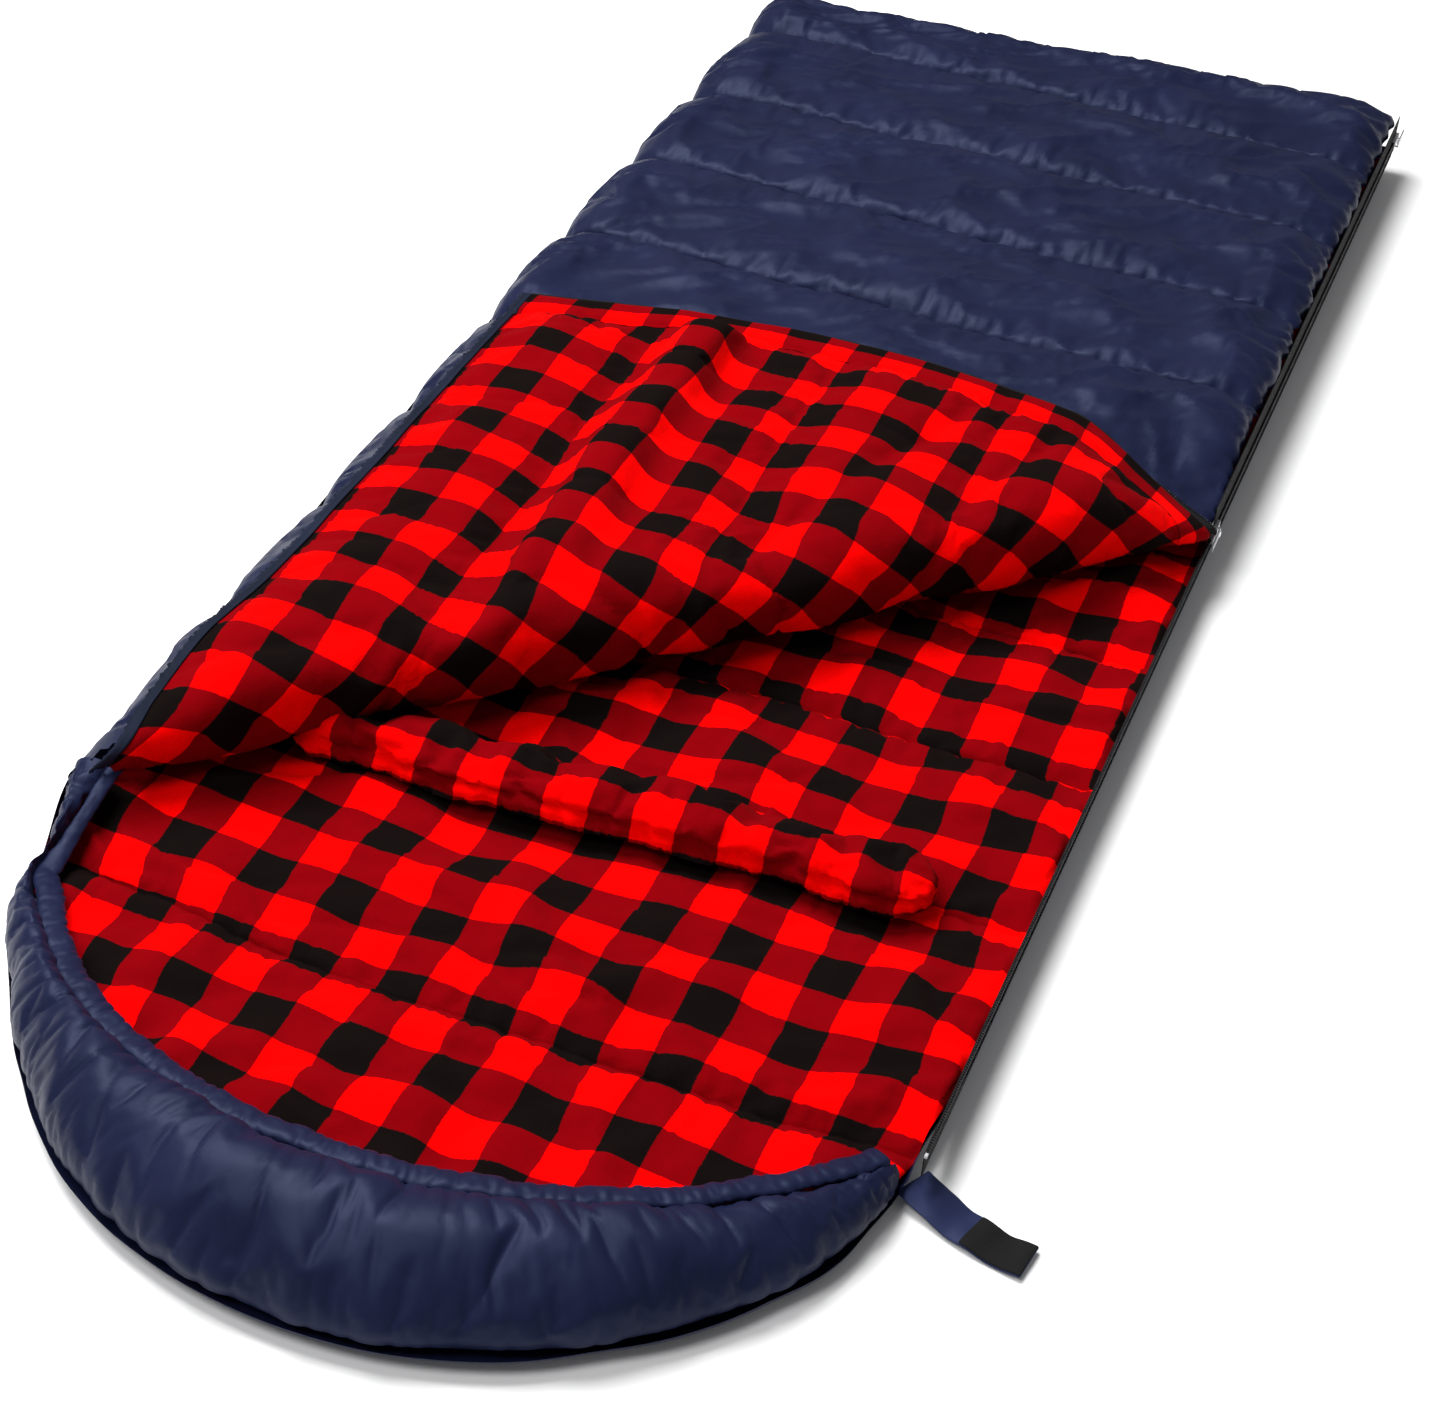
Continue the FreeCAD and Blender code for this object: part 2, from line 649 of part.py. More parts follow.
def export():
    os.makedirs("parts", exist_ok=True)
    for thing in nodes:
        thing.Shape.exportStep(f"parts/{thing.Label}.step")


lower_quilt()
left_fold()
foot_end()
upper_quilt()
flap()
fold_roll()
hood_pad()
hood_rim()
hood_casing()
neck_roll()
zip_fastener()
sliders()
strap()
doc.recompute()
check()
export()
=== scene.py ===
import json
import math

import bmesh
import bpy
import numpy as np
from mathutils import Matrix, Vector


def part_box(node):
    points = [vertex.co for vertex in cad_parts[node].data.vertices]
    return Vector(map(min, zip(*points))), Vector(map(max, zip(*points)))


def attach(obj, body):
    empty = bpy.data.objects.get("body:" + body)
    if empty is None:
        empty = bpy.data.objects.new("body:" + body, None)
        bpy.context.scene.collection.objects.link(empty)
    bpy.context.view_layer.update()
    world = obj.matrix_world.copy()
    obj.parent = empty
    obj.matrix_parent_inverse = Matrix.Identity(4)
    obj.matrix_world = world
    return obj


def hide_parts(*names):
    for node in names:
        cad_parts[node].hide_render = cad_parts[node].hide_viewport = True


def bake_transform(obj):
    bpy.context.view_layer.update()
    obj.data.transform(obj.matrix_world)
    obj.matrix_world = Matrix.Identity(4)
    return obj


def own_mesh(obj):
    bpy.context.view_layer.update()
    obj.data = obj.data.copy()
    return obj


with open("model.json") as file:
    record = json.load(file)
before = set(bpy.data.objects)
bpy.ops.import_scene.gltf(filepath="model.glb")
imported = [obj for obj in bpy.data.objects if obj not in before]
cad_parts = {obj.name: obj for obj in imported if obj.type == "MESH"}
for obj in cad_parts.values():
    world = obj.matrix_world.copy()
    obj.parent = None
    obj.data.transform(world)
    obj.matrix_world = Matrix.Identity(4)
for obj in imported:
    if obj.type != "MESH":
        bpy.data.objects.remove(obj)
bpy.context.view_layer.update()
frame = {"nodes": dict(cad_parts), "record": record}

# ---- places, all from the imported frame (metres: +X zip side, +Y foot, +Z up) ----

JOINTS = {joint["name"]: joint for joint in frame["record"]["behaviour"]["joints"]}
base_low, base_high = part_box("base_lining")
HALF = base_high[0]
NECK = base_low[1]
FOOT = base_high[1]
BASE_TOP = base_high[2]
TOP_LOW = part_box("top_lining")[0][2]
TOP_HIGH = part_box("top_shell")[1][2]
FOLD_X, FOLD_Y, FOLD_Z = JOINTS["flap_fold"]["pos_m"]
FOLD_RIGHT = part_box("flap_shell")[1][1]
FOLD_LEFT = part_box("top_shell")[0][1]
HOOD_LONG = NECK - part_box("hood_pad_lining")[0][1]
ZIP_Z = (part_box("zip_coil_lower")[1][2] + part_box("zip_coil_upper")[0][2]) / 2

CHECK = 0.041
CHECK_PHASE = (0.92, 2.28)
FACING_PHASE = -0.0325
CHANNEL = 0.195
ROOT_2 = math.sqrt(2)

# quilting seams, counted back from the foot; the lower quilt's end with the one at the neck
TOP_SEAMS = [FOOT - CHANNEL * count for count in range(0, 10)]
BASE_SEAMS = [FOOT] + [FOOT - 0.215 - CHANNEL * count for count in range(0, 5)]
BASE_SEAMS += [FOOT - step for step in (1.200, 1.403, 1.615)] + [NECK, NECK - 0.265]
BASE_TUCKS = [0.016] * 5 + [0.009, 0.0573, 0.0135]
PANEL_SLIP = 0.015


# ---- noise and small shape functions ----


def perlin(x, y, seed):
    """Smooth noise between about -1 and 1, the same on every run."""
    draws = np.random.default_rng(seed)
    angle = draws.uniform(0, 2 * math.pi, (64, 64))
    left, low = np.floor(x).astype(int), np.floor(y).astype(int)
    fx, fy = x - left, y - low

    def corner(dx, dy):
        turn = angle[(left + dx) % 64, (low + dy) % 64]
        return np.cos(turn) * (fx - dx) + np.sin(turn) * (fy - dy)

    sx = fx * fx * fx * (fx * (fx * 6 - 15) + 10)
    sy = fy * fy * fy * (fy * (fy * 6 - 15) + 10)
    near = corner(0, 0) * (1 - sx) + corner(1, 0) * sx
    far = corner(0, 1) * (1 - sx) + corner(1, 1) * sx
    return 1.4 * (near * (1 - sy) + far * sy)


def ripple(place, seed, at=0.0):
    """Smooth noise along one direction."""
    return perlin(place, place * 0 + at, seed)


def creases(x, y, seed):
    """Ridged noise: narrow rounded ridges between broad hollows, from 0 to 1."""
    return (1 - np.abs(perlin(x, y, seed))) ** 3


def ease(t):
    t = np.clip(t, 0, 1)
    return t * t * (3 - 2 * t)


def round_off(t):
    """A quarter circle: 0 at the edge, steep there, and 1 from t = 1 on."""
    t = np.clip(t, 0, 1)
    return np.sqrt(1 - (1 - t) ** 2)


def slope_off(t):
    """Rises from 0 at the edge to 1 at t = 1, levelling off."""
    return 1 - (1 - np.clip(t, 0, 1)) ** 2


def channel(place, seams):
    """How full a quilted channel is at each place (0 on a seam, 1 in the middle), and the
    distance to the nearest seam."""
    seams = np.sort(np.asarray(seams))
    index = np.clip(np.searchsorted(seams, place), 1, len(seams) - 1)
    low, high = seams[index - 1], seams[index]
    across = np.clip(2 * (place - low) / (high - low) - 1, -1, 1)
    full = (1 - np.abs(across) ** 2.3) ** 0.62
    away = np.minimum(np.abs(place - low), np.abs(high - place))
    return full, away


def tucked(place, seams, hidden=0.016, wide=0.0018):
    """The fabric's own coordinate at each place, where every seam's tuck hides some cloth."""
    steps = np.array([0.5 + 0.5 * np.tanh((place - seam) / (2 * wide)) for seam in seams])
    return place + np.broadcast_to(hidden, len(seams)) @ steps


def puckers(along, away, seed, reach=0.030):
    """Gathers beside a seam: narrow creases square to it between puffs, fading away from it."""
    bent = along + 0.004 * perlin(along / 0.05, away / 0.02, seed + 2)
    fine = 0.45 - creases(bent / 0.026, away / 0.11, seed)
    broad = perlin(along / 0.041, away / 0.22, seed + 1)
    return (0.95 * fine + 0.55 * broad) * np.exp(-away / reach)


# ---- meshes ----


def edge_steps(low, high, step, near=(0.001, 0.003, 0.007, 0.012, 0.019, 0.028, 0.038)):
    """Places from low to high, a step apart, closing up towards both ends."""
    inner = np.linspace(low + near[-1], high - near[-1],
                        int(round((high - low - 2 * near[-1]) / step)) + 1)
    first = low + np.array((0.0,) + near[:-1])
    last = high - np.array((0.0,) + near[:-1])[::-1]
    return np.concatenate([first, inner, last])


def seam_rows(low, high, seams, step, near=(0.0012, 0.0035, 0.007, 0.012)):
    """Places from low to high that close up to both ends and to every seam between them."""
    stops = [low] + sorted(seam for seam in seams if low + 0.03 < seam < high - 0.03) + [high]
    spans = [edge_steps(a, b, step, near)[:-1] for a, b in zip(stops, stops[1:])]
    return np.concatenate(spans + [[high]])


def linked(name, data):
    """A new object in the scene."""
    made = bpy.data.objects.new(name, data)
    bpy.context.scene.collection.objects.link(made)
    return made


def make_piece(name, points, faces, fabric=None, material=None):
    mesh = bpy.data.meshes.new(name)
    mesh.from_pydata([tuple(p) for p in points], [], [tuple(f) for f in faces])
    if fabric is not None:
        layer = mesh.attributes.new("fabric", "FLOAT_VECTOR", "POINT")
        flat = np.zeros((len(points), 3))
        flat[:, :2] = fabric
        layer.data.foreach_set("vector", flat.ravel())
    mesh.shade_smooth()
    if material:
        mesh.materials.append(material)
    return linked(name, mesh)


def grid_piece(name, points, columns, fabric, material, keep=None, closed=False, flipped=False):
    """A sheet over a grid of points, given row by row: keep says which points may be used, and
    closed joins the last column to the first."""
    faces = []
    for i in range(len(points) // columns - 1):
        for j in range(columns - 1 + closed):
            k = (j + 1) % columns
            quad = (i * columns + j, (i + 1) * columns + j, (i + 1) * columns + k, i * columns + k)
            if keep is None or all(keep[q] for q in quad):
                faces.append(quad[::-1] if flipped else quad)
    return make_piece(name, points, faces, fabric, material)


def spread(first, second, indexing="xy"):
    """Two lists of places, as flat coordinates over their whole grid."""
    one, other = np.meshgrid(first, second, indexing=indexing)
    return one.ravel(), other.ravel()


def stacked(*parts):
    return np.stack(parts, axis=1)


def across_line(line, ways, wide):
    """Rows of points across a line, at several distances along its ways out."""
    return (line[:, None] + ways[:, None] * wide[:, None]).reshape(-1, 3)


def unit(vectors):
    return vectors / np.linalg.norm(vectors, axis=1, keepdims=True)


def mend(piece, close=False, outward=False):
    """Drop unused points, and where asked fill a tube's open ends and turn its faces out."""
    mesh = bmesh.new()
    mesh.from_mesh(piece.data)
    loose = [v for v in mesh.verts if not v.link_faces]
    bmesh.ops.delete(mesh, geom=loose, context="VERTS")
    if close:
        bmesh.ops.holes_fill(mesh, edges=[e for e in mesh.edges if e.is_boundary])
    if outward:
        bmesh.ops.recalc_face_normals(mesh, faces=mesh.faces)
    mesh.to_mesh(piece.data)
    mesh.free()


def subdivide(piece):
    change = piece.modifiers.new("smooth", "SUBSURF")
    change.levels = change.render_levels = 1
    change.boundary_smooth = "PRESERVE_CORNERS"


def thicken(piece, thickness, offset=-1.0):
    change = piece.modifiers.new("thickness", "SOLIDIFY")
    change.thickness = thickness
    change.offset = offset


def get_points(piece):
    flat = np.empty(3 * len(piece.data.vertices))
    piece.data.vertices.foreach_get("co", flat)
    return flat.reshape(-1, 3)


def settle(piece, held, pressure, slack, cap=0.014):
    """Inflate a sheet between its held points as slack cloth, each point moving less than cap."""
    frames = 15
    start = get_points(piece)
    group = piece.vertex_groups.new(name="held")
    group.add([int(i) for i in np.flatnonzero(held)], 1.0, "REPLACE")
    cloth = piece.modifiers.new("cloth", "CLOTH")
    setup = cloth.settings
    values = dict(quality=5, mass=0.15, tension_stiffness=12.0, compression_stiffness=12.0,
                  shear_stiffness=6.0, bending_stiffness=0.4, air_damping=2.0,
                  vertex_group_mass="held", shrink_min=-slack, use_pressure=True,
                  uniform_pressure_force=pressure)
    for key, value in values.items():
        setattr(setup, key, value)
    setup.effector_weights.gravity = 0
    cloth.collision_settings.use_collision = False
    cloth.point_cache.frame_start = 1
    cloth.point_cache.frame_end = frames
    scene = bpy.context.scene
    for number in range(1, frames + 1):
        scene.frame_set(number)
    moved = get_points(piece.evaluated_get(bpy.context.evaluated_depsgraph_get())) - start
    length = np.linalg.norm(moved, axis=1, keepdims=True)
    moved *= cap * np.tanh(length / cap) / np.maximum(length, 1e-9)
    piece.modifiers.remove(cloth)
    piece.vertex_groups.remove(group)
    piece.data.vertices.foreach_set("co", (start + moved).ravel())
    piece.data.update()
    scene.frame_set(1)


# ---- materials ----


def set_up(tree, made, **values):
    """Set a node's settings, and its inputs by name: numbers, colours or other outputs."""
    for key, value in values.items():
        if hasattr(made, key):
            setattr(made, key, value)
        else:
            feed(tree, value, made.inputs[key.replace("_", " ")])
    return made.outputs[0]


def feed(tree, value, target):
    if isinstance(value, bpy.types.NodeSocket):
        tree.links.new(value, target)
    elif isinstance(value, tuple) and len(value) < len(target.default_value):
        target.default_value = value + (1.0,)
    else:
        target.default_value = value


def add(tree, kind, **values):
    return set_up(tree, tree.nodes.new(kind), **values)


def new_material(name):
    made = bpy.data.materials.new(name)
    made.use_nodes = True
    return made, made.node_tree, made.node_tree.nodes["Principled BSDF"]


def fabric_vector(tree):
    attribute = tree.nodes.new("ShaderNodeAttribute")
    attribute.attribute_name = "fabric"
    return attribute.outputs["Vector"]


def object_vector(tree):
    return tree.nodes.new("ShaderNodeTexCoord").outputs["Object"]


def separate(tree, vector):
    parts = tree.nodes.new("ShaderNodeSeparateXYZ")
    feed(tree, vector, parts.inputs[0])
    return parts.outputs


def scaled(tree, vector, scale):
    """A vector stretched by a scale along each axis."""
    return add(tree, "ShaderNodeMapping", Vector=vector, Scale=scale)


def noise_node(tree, vector, scale, detail=3.0, roughness=0.55):
    return add(tree, "ShaderNodeTexNoise", Vector=vector, Scale=scale, Detail=detail,
               Roughness=roughness)


def math_node(tree, operation, *values):
    made = tree.nodes.new("ShaderNodeMath")
    made.operation = operation
    for value, target in zip(values, made.inputs):
        feed(tree, value, target)
    return made.outputs[0]


def vector_node(tree, operation, first, second):
    made = tree.nodes.new("ShaderNodeVectorMath")
    made.operation = operation
    for value, target in ((first, 0), (second, "Scale" if operation == "SCALE" else 1)):
        feed(tree, value, made.inputs[target])
    return made.outputs[0]


def mixed(tree, first, first_share, second):
    """Two noises added, the first with its share of the whole."""
    return math_node(tree, "ADD", math_node(tree, "MULTIPLY", first, first_share),
                     math_node(tree, "MULTIPLY", second, 1 - first_share))


def mix_colour(tree, factor, first, second):
    made = tree.nodes.new("ShaderNodeMix")
    made.data_type = "RGBA"
    for value, target in ((factor, 0), (first, 6), (second, 7)):
        feed(tree, value, made.inputs[target])
    return made.outputs[2]


def ramp(tree, value, low=0.0, high=1.0, to_low=0.0, to_high=1.0):
    return add(tree, "ShaderNodeMapRange", Value=value, From_Min=low, From_Max=high,
               To_Min=to_low, To_Max=to_high)


def bump(tree, height, strength, distance, **before):
    return add(tree, "ShaderNodeBump", Height=height, Strength=strength, Distance=distance,
               **before)


def threads(tree, vector, across, along):
    """The crossed threads of a plain weave, as a height from 0 to 1."""
    parts = separate(tree, vector)
    warp = math_node(tree, "SINE", math_node(tree, "MULTIPLY", parts[0], across))
    weft = math_node(tree, "SINE", math_node(tree, "MULTIPLY", parts[1], along))
    return math_node(tree, "MULTIPLY", warp, weft)


def taffeta(name, dark, light, rough):
    """Plain-woven polyester with a soft satin gloss and fine crumples."""
    made, tree, shader = new_material(name)
    body = object_vector(tree)
    cloud = noise_node(tree, body, 9.0, 4.0)
    grain = noise_node(tree, scaled(tree, body, (1.0, 2.5, 1.0)), 700.0, 2.0)
    tone = ramp(tree, mixed(tree, cloud, 0.75, grain), 0.3, 0.7)
    wear = noise_node(tree, body, 35.0)
    slanted = add(tree, "ShaderNodeVectorRotate", Vector=body, Angle=0.7)
    crumple = noise_node(tree, scaled(tree, slanted, (0.35, 1.0, 1.0)), 42.0, 4.0, 0.5)
    weave = threads(tree, fabric_vector(tree), 6500.0, 6500.0)
    crumpled = bump(tree, crumple, 0.20, 0.0030)
    set_up(tree, shader, Base_Color=mix_colour(tree, tone, dark, light),
           Roughness=ramp(tree, wear, to_low=rough - 0.06, to_high=rough + 0.08),
           Normal=bump(tree, weave, 0.10, 0.0003, Normal=crumpled),
           Sheen_Weight=0.02, Sheen_Roughness=0.4, Sheen_Tint=(0.45, 0.55, 1.0),
           Specular_IOR_Level=0.15, Specular_Tint=(0.55, 0.66, 1.0))
    return made


def stripes(tree, coordinate, phase):
    """1 on every other check along one coordinate, with slightly woolly edges."""
    turned = math_node(tree, "MULTIPLY_ADD", coordinate, math.pi / CHECK, phase)
    return ramp(tree, math_node(tree, "SINE", turned), -0.035, 0.035)


def flannel(name):
    """Brushed cotton in a red and black buffalo check, on the fabric's own coordinates."""
    made, tree, shader = new_material(name)
    place = fabric_vector(tree)
    body = object_vector(tree)
    fuzz = noise_node(tree, body, 900.0, 3.0, 0.7)
    mottle = noise_node(tree, body, 60.0, 4.0, 0.6)
    wobble = tree.nodes.new("ShaderNodeTexNoise")
    set_up(tree, wobble, Vector=body, Scale=300.0)
    shift = vector_node(tree, "SCALE", wobble.outputs["Color"], 0.0016)
    parts = separate(tree, vector_node(tree, "ADD", place, shift))
    across, along = (stripes(tree, parts[axis], CHECK_PHASE[axis]) for axis in (0, 1))
    black = (0.0044, 0.0030, 0.0028)
    deep = (0.190, 0.0002, 0.0020)
    bright = (0.950, 0.0004, 0.0004)
    colour = mix_colour(tree, math_node(tree, "MAXIMUM", across, along), black, deep)
    colour = mix_colour(tree, math_node(tree, "MULTIPLY", across, along), colour, bright)
    # the brushed nap lightens and darkens the yarns a little
    nap = ramp(tree, mixed(tree, fuzz, 0.55, mottle), to_low=0.72, to_high=1.18)
    rough = bump(tree, mottle, 0.35, 0.0025)
    rough = bump(tree, threads(tree, place, 3000.0, 3000.0), 0.18, 0.0004, Normal=rough)
    set_up(tree, shader, Base_Color=vector_node(tree, "SCALE", colour, nap), Roughness=0.92,
           Normal=bump(tree, fuzz, 0.30, 0.0006, Normal=rough), Specular_IOR_Level=0.015,
           Sheen_Weight=0.008, Sheen_Roughness=0.6, Sheen_Tint=(1.0, 0.35, 0.3))
    return made


def webbing(name, dark, light, ribs, rough):
    """Close-woven tape or strap, ribbed one way."""
    made, tree, shader = new_material(name)
    place = object_vector(tree)
    grain = ramp(tree, noise_node(tree, place, 1200.0), 0.3, 0.7)
    set_up(tree, shader, Base_Color=mix_colour(tree, grain, dark, light), Roughness=rough,
           Normal=bump(tree, threads(tree, place, *ribs), 0.5, 0.0004), Specular_IOR_Level=0.2)
    return made


def metal(name, colour, rough):
    """Plated die-cast metal with fine scuffs."""
    made, tree, shader = new_material(name)
    body = scaled(tree, object_vector(tree), (1.0, 6.0, 1.0))
    scuff = noise_node(tree, body, 900.0, 5.0, 0.7)
    dull = tuple(part * 0.8 for part in colour)
    set_up(tree, shader, Metallic=1.0, Normal=bump(tree, scuff, 0.15, 0.0002),
           Base_Color=mix_colour(tree, ramp(tree, scuff, 0.35, 0.8), dull, colour),
           Roughness=ramp(tree, scuff, to_low=rough - 0.08, to_high=rough + 0.15))
    return made


NAVY = taffeta("navy_taffeta", (0.0055, 0.0072, 0.0250), (0.0094, 0.0122, 0.0395), 0.44)
CHECKED = flannel("check_flannel")
TAPE = webbing("zip_tape", (0.002, 0.002, 0.0025), (0.006, 0.006, 0.007), (2600.0, 3200.0), 0.8)
STRAPPING = taffeta("strap_webbing", (0.0100, 0.0130, 0.042), (0.0200, 0.0260, 0.075), 0.5)
HEMMED = taffeta("hem_thread", (0.0030, 0.0040, 0.0080), (0.0090, 0.0120, 0.026), 0.7)
LOOPS = webbing("loop_tape", (0.003, 0.003, 0.003), (0.012, 0.012, 0.013), (1500.0, 1500.0), 0.8)
COIL = webbing("zip_coil", (0.005, 0.005, 0.006), (0.016, 0.016, 0.018), (4000.0, 4000.0), 0.35)
HOOKS = webbing("hook_tape", (0.001, 0.001, 0.001), (0.005, 0.005, 0.005), (2200.0, 2200.0), 0.8)
CHROME = metal("zip_metal", (0.74, 0.74, 0.76), 0.28)
STEEL = metal("stop_metal", (0.62, 0.62, 0.64), 0.34)
CORD = webbing("cord", (0.006, 0.006, 0.007), (0.016, 0.016, 0.018), (2800.0, 2800.0), 0.6)


# ---- levels and distances on the quilts ----

ZIP_BAND = 0.0195
ZIP_COVER = 0.024
SIDE_SEAM_Z = 0.052
LOW_SEAM_Z = 0.020
STEP = 0.0085
FINE = 0.0048
SLIDER_CORNER = (HALF, FOLD_RIGHT)
SIDE_CORNER = (-HALF, FOLD_LEFT)

# where cloth bends between two bodies: at the neck, and from the mouth up round the fold
BENDS = {"neck": ("bag", "hood", (0.0, NECK + 0.045, BASE_TOP), (0.0, NECK - 0.045, BASE_TOP)),
         "fold": ("bag", "flap", (FOLD_X, FOLD_Y, TOP_LOW + 0.004),
                  (FOLD_X, FOLD_Y, FOLD_Z + 0.001))}


def finish_piece(piece, body, slot, *nodes):
    """Attach a piece to the body it rides on, or bake its place into its mesh where it spans a
    bend, and hide the CAD nodes it stands for. slot is not used.
    """
    if body in BENDS:
        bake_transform(piece)
    elif body:
        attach(piece, body)
    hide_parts(*nodes)


def fold_distance(x, y):
    """Distance from the fold line, in plan: positive towards the foot, under the flap."""
    return ((y - FOLD_Y) - (x - FOLD_X)) / ROOT_2


def seam_wander(x, seed):
    """Quilting seams don't run quite straight."""
    return 0.0045 * ripple(x / 0.17, seed, 1.7)


def skew_foot(x, y):
    """The foot end lies a little askew: its closed corner sits further back."""
    return y - 0.078 * (HALF - x) / (2 * HALF) * ease((y - FOOT + 0.20) / 0.20)


def sink(points):
    """Near both ends of the fold the cloth comes down to the zip and to the closed side."""
    for corner, level, least in ((SLIDER_CORNER, ZIP_Z, 0.30), (SIDE_CORNER, SIDE_SEAM_Z, 0.50)):
        away = np.hypot(points[:, 0] - corner[0], points[:, 1] - corner[1])
        keep = least + (1 - least) * ease(away / 0.17)
        lowered = level + (points[:, 2] - level) * keep
        points[:, 2] = np.where(points[:, 2] > level, lowered, points[:, 2])
    return points


def shape_hood(x, y):
    """The hood stands out at its front, and draws in towards the closed side's neck."""
    past = np.maximum(NECK - y, 0) / HOOD_LONG
    turn = np.degrees(np.arctan2(past, x / HALF))
    out = -0.025 + 0.095 * np.exp(-((turn - 82) / 34) ** 2) - 0.080 * ease((turn - 105) / 42)
    out += 0.050 * ease((turn - 154) / 24)
    hood = 1 + out * np.minimum(past ** 2 + (x / HALF) ** 2, 1)
    side = np.where(x < 0, -0.055, -0.025) * (x / HALF) ** 2 * (1 - ease((y - NECK) / 0.12))
    grow = np.where(past > 0, hood, 1 + side)
    return x * grow, np.where(past > 0, NECK + (y - NECK) * grow, y)


def closed_level(y):
    """Height of the lower quilt's left edge: it turns up from the neck into the closed side."""
    return LOW_SEAM_Z + (SIDE_SEAM_Z - LOW_SEAM_Z) * ease((y - NECK) / 0.13)


# ---- the upper quilt ----


def top_quilt_shell():
    """Navy shell over the upper quilt, from the zip, over the top and round the closed side."""
    columns = edge_steps(-HALF, HALF, FINE)
    rows = seam_rows(FOLD_LEFT, FOOT, TOP_SEAMS, FINE * 1.5)
    x, y = spread(columns, rows)
    full, away = channel(y, TOP_SEAMS)
    # the seams fade out at the fold, so that the closed corner meets a level edge
    full += (1 - full) * (1 - ease((fold_distance(x, y) - 0.015) / 0.070))
    y = y + seam_wander(x, 11) * ease((FOOT - y) / 0.1)
    fabric = stacked(x, y)

    # the edges round down: to the zip at +X, round the closed side at -X, and at the foot
    right, left, foot = HALF - x, x + HALF, FOOT - y
    plan = fold_distance(x, y)
    rise = round_off(right / 0.055) * round_off(left / 0.060) * round_off(foot / 0.050)
    open_top = 1 - ease((FOLD_RIGHT + 0.03 - y) / 0.05)
    crest = TOP_HIGH - 0.006 + 0.008 * open_top
    seam_z = crest - 0.024
    gather = puckers(x, away, 21, 0.020)
    top = seam_z + (crest - seam_z) * full + 0.0042 * gather * (0.5 + 0.5 * open_top)
    top += 0.0035 * full * perlin(x / 0.16 + y / 0.4, y / 0.11 - x / 0.5, 31)
    # slanting wrinkles, strongest towards the closed side
    strong = (0.45 + 0.55 * ease((0.10 - x) / 0.35)) * open_top * full
    fold = creases((x + 1.3 * y) / 0.30, (y - 0.75 * x) / 0.055, 41)
    top += 0.0050 * strong * (fold - 0.4)
    fold = creases((x + 0.8 * y) / 0.20, (y - 0.45 * x) / 0.038, 43)
    top += 0.0026 * strong * (fold - 0.4)

    # the zip's seam gathers the right edge, and its creases slant in from there
    drawn = puckers(y - 0.4 * right, right, 55, 0.038) * open_top
    top += 0.0060 * drawn * ease(right / 0.03)
    side_z = SIDE_SEAM_Z + (ZIP_Z + ZIP_COVER - SIDE_SEAM_Z) * ease(1 - right / 0.05)
    z = side_z + (top - side_z) * rise
    # between the seams the closed side and the foot bulge, and the seams pull them in
    pull = 0.013 * (1 - full) + 0.0022 * gather
    near_left, near_right, near_foot = (ease(1 - side / 0.075) for side in (left, right, foot))
    pleat = 0.009 * ripple(y / 0.020, 52, 3.5) * np.exp(-right / 0.020)
    z += 0.0025 * ripple(y / 0.020, 56, 8.5) * np.exp(-right / 0.006)
    x = x + pull * near_left + 0.0016 * near_right
    x -= (0.35 * pull + np.abs(pleat)) * near_right * ease((right + 0.008) / 0.010)
    y = y - 0.005 * near_foot * (1 + ripple(x / 0.09, 51, 0.5))
    points = sink(stacked(x, skew_foot(x, y), z))

    piece = grid_piece("top_quilt_shell", points, len(columns), fabric, NAVY, plan > -0.006)
    held = (away < 0.003) | (np.minimum(np.minimum(right, left), foot) < 0.004) | (plan < 0.02)
    settle(piece, held, 1.6, 0.035)
    mend(piece)
    finish_piece(piece, "bag", "navy_taffeta", "top_shell", "top_fill",
                 "side_fold_shell", "side_fold_fill", "foot_end_shell", "foot_end_fill")


def top_quilt_lining():
    """Check flannel under the upper quilt and down inside the closed side and the foot."""
    columns = np.linspace(-HALF + 0.034, HALF - 0.014, 60)
    rows = np.linspace(FOLD_LEFT, FOOT - 0.034, 110)
    x, y = spread(columns, rows)
    full, away = channel(y, TOP_SEAMS)
    z = TOP_LOW + 0.004 + 0.006 * (1 - full) + 0.002 * puckers(x, away, 24)
    drop = 1 - round_off((x + HALF - 0.034) / 0.03) * round_off((FOOT - 0.034 - y) / 0.03)
    z -= (TOP_LOW - BASE_TOP) * drop + 0.014 * ease((x - HALF + 0.05) / 0.035)
    fabric = stacked(x, y)
    points = sink(stacked(x, skew_foot(x, y), z))
    piece = grid_piece("top_quilt_lining", points, len(columns), fabric, CHECKED,
                       fold_distance(x, y) > -0.004, flipped=True)
    mend(piece)
    finish_piece(piece, "bag", "check_flannel", "top_lining", "side_fold_lining",
                 "foot_end_lining")


# ---- the lower quilt, which runs on into the hood ----


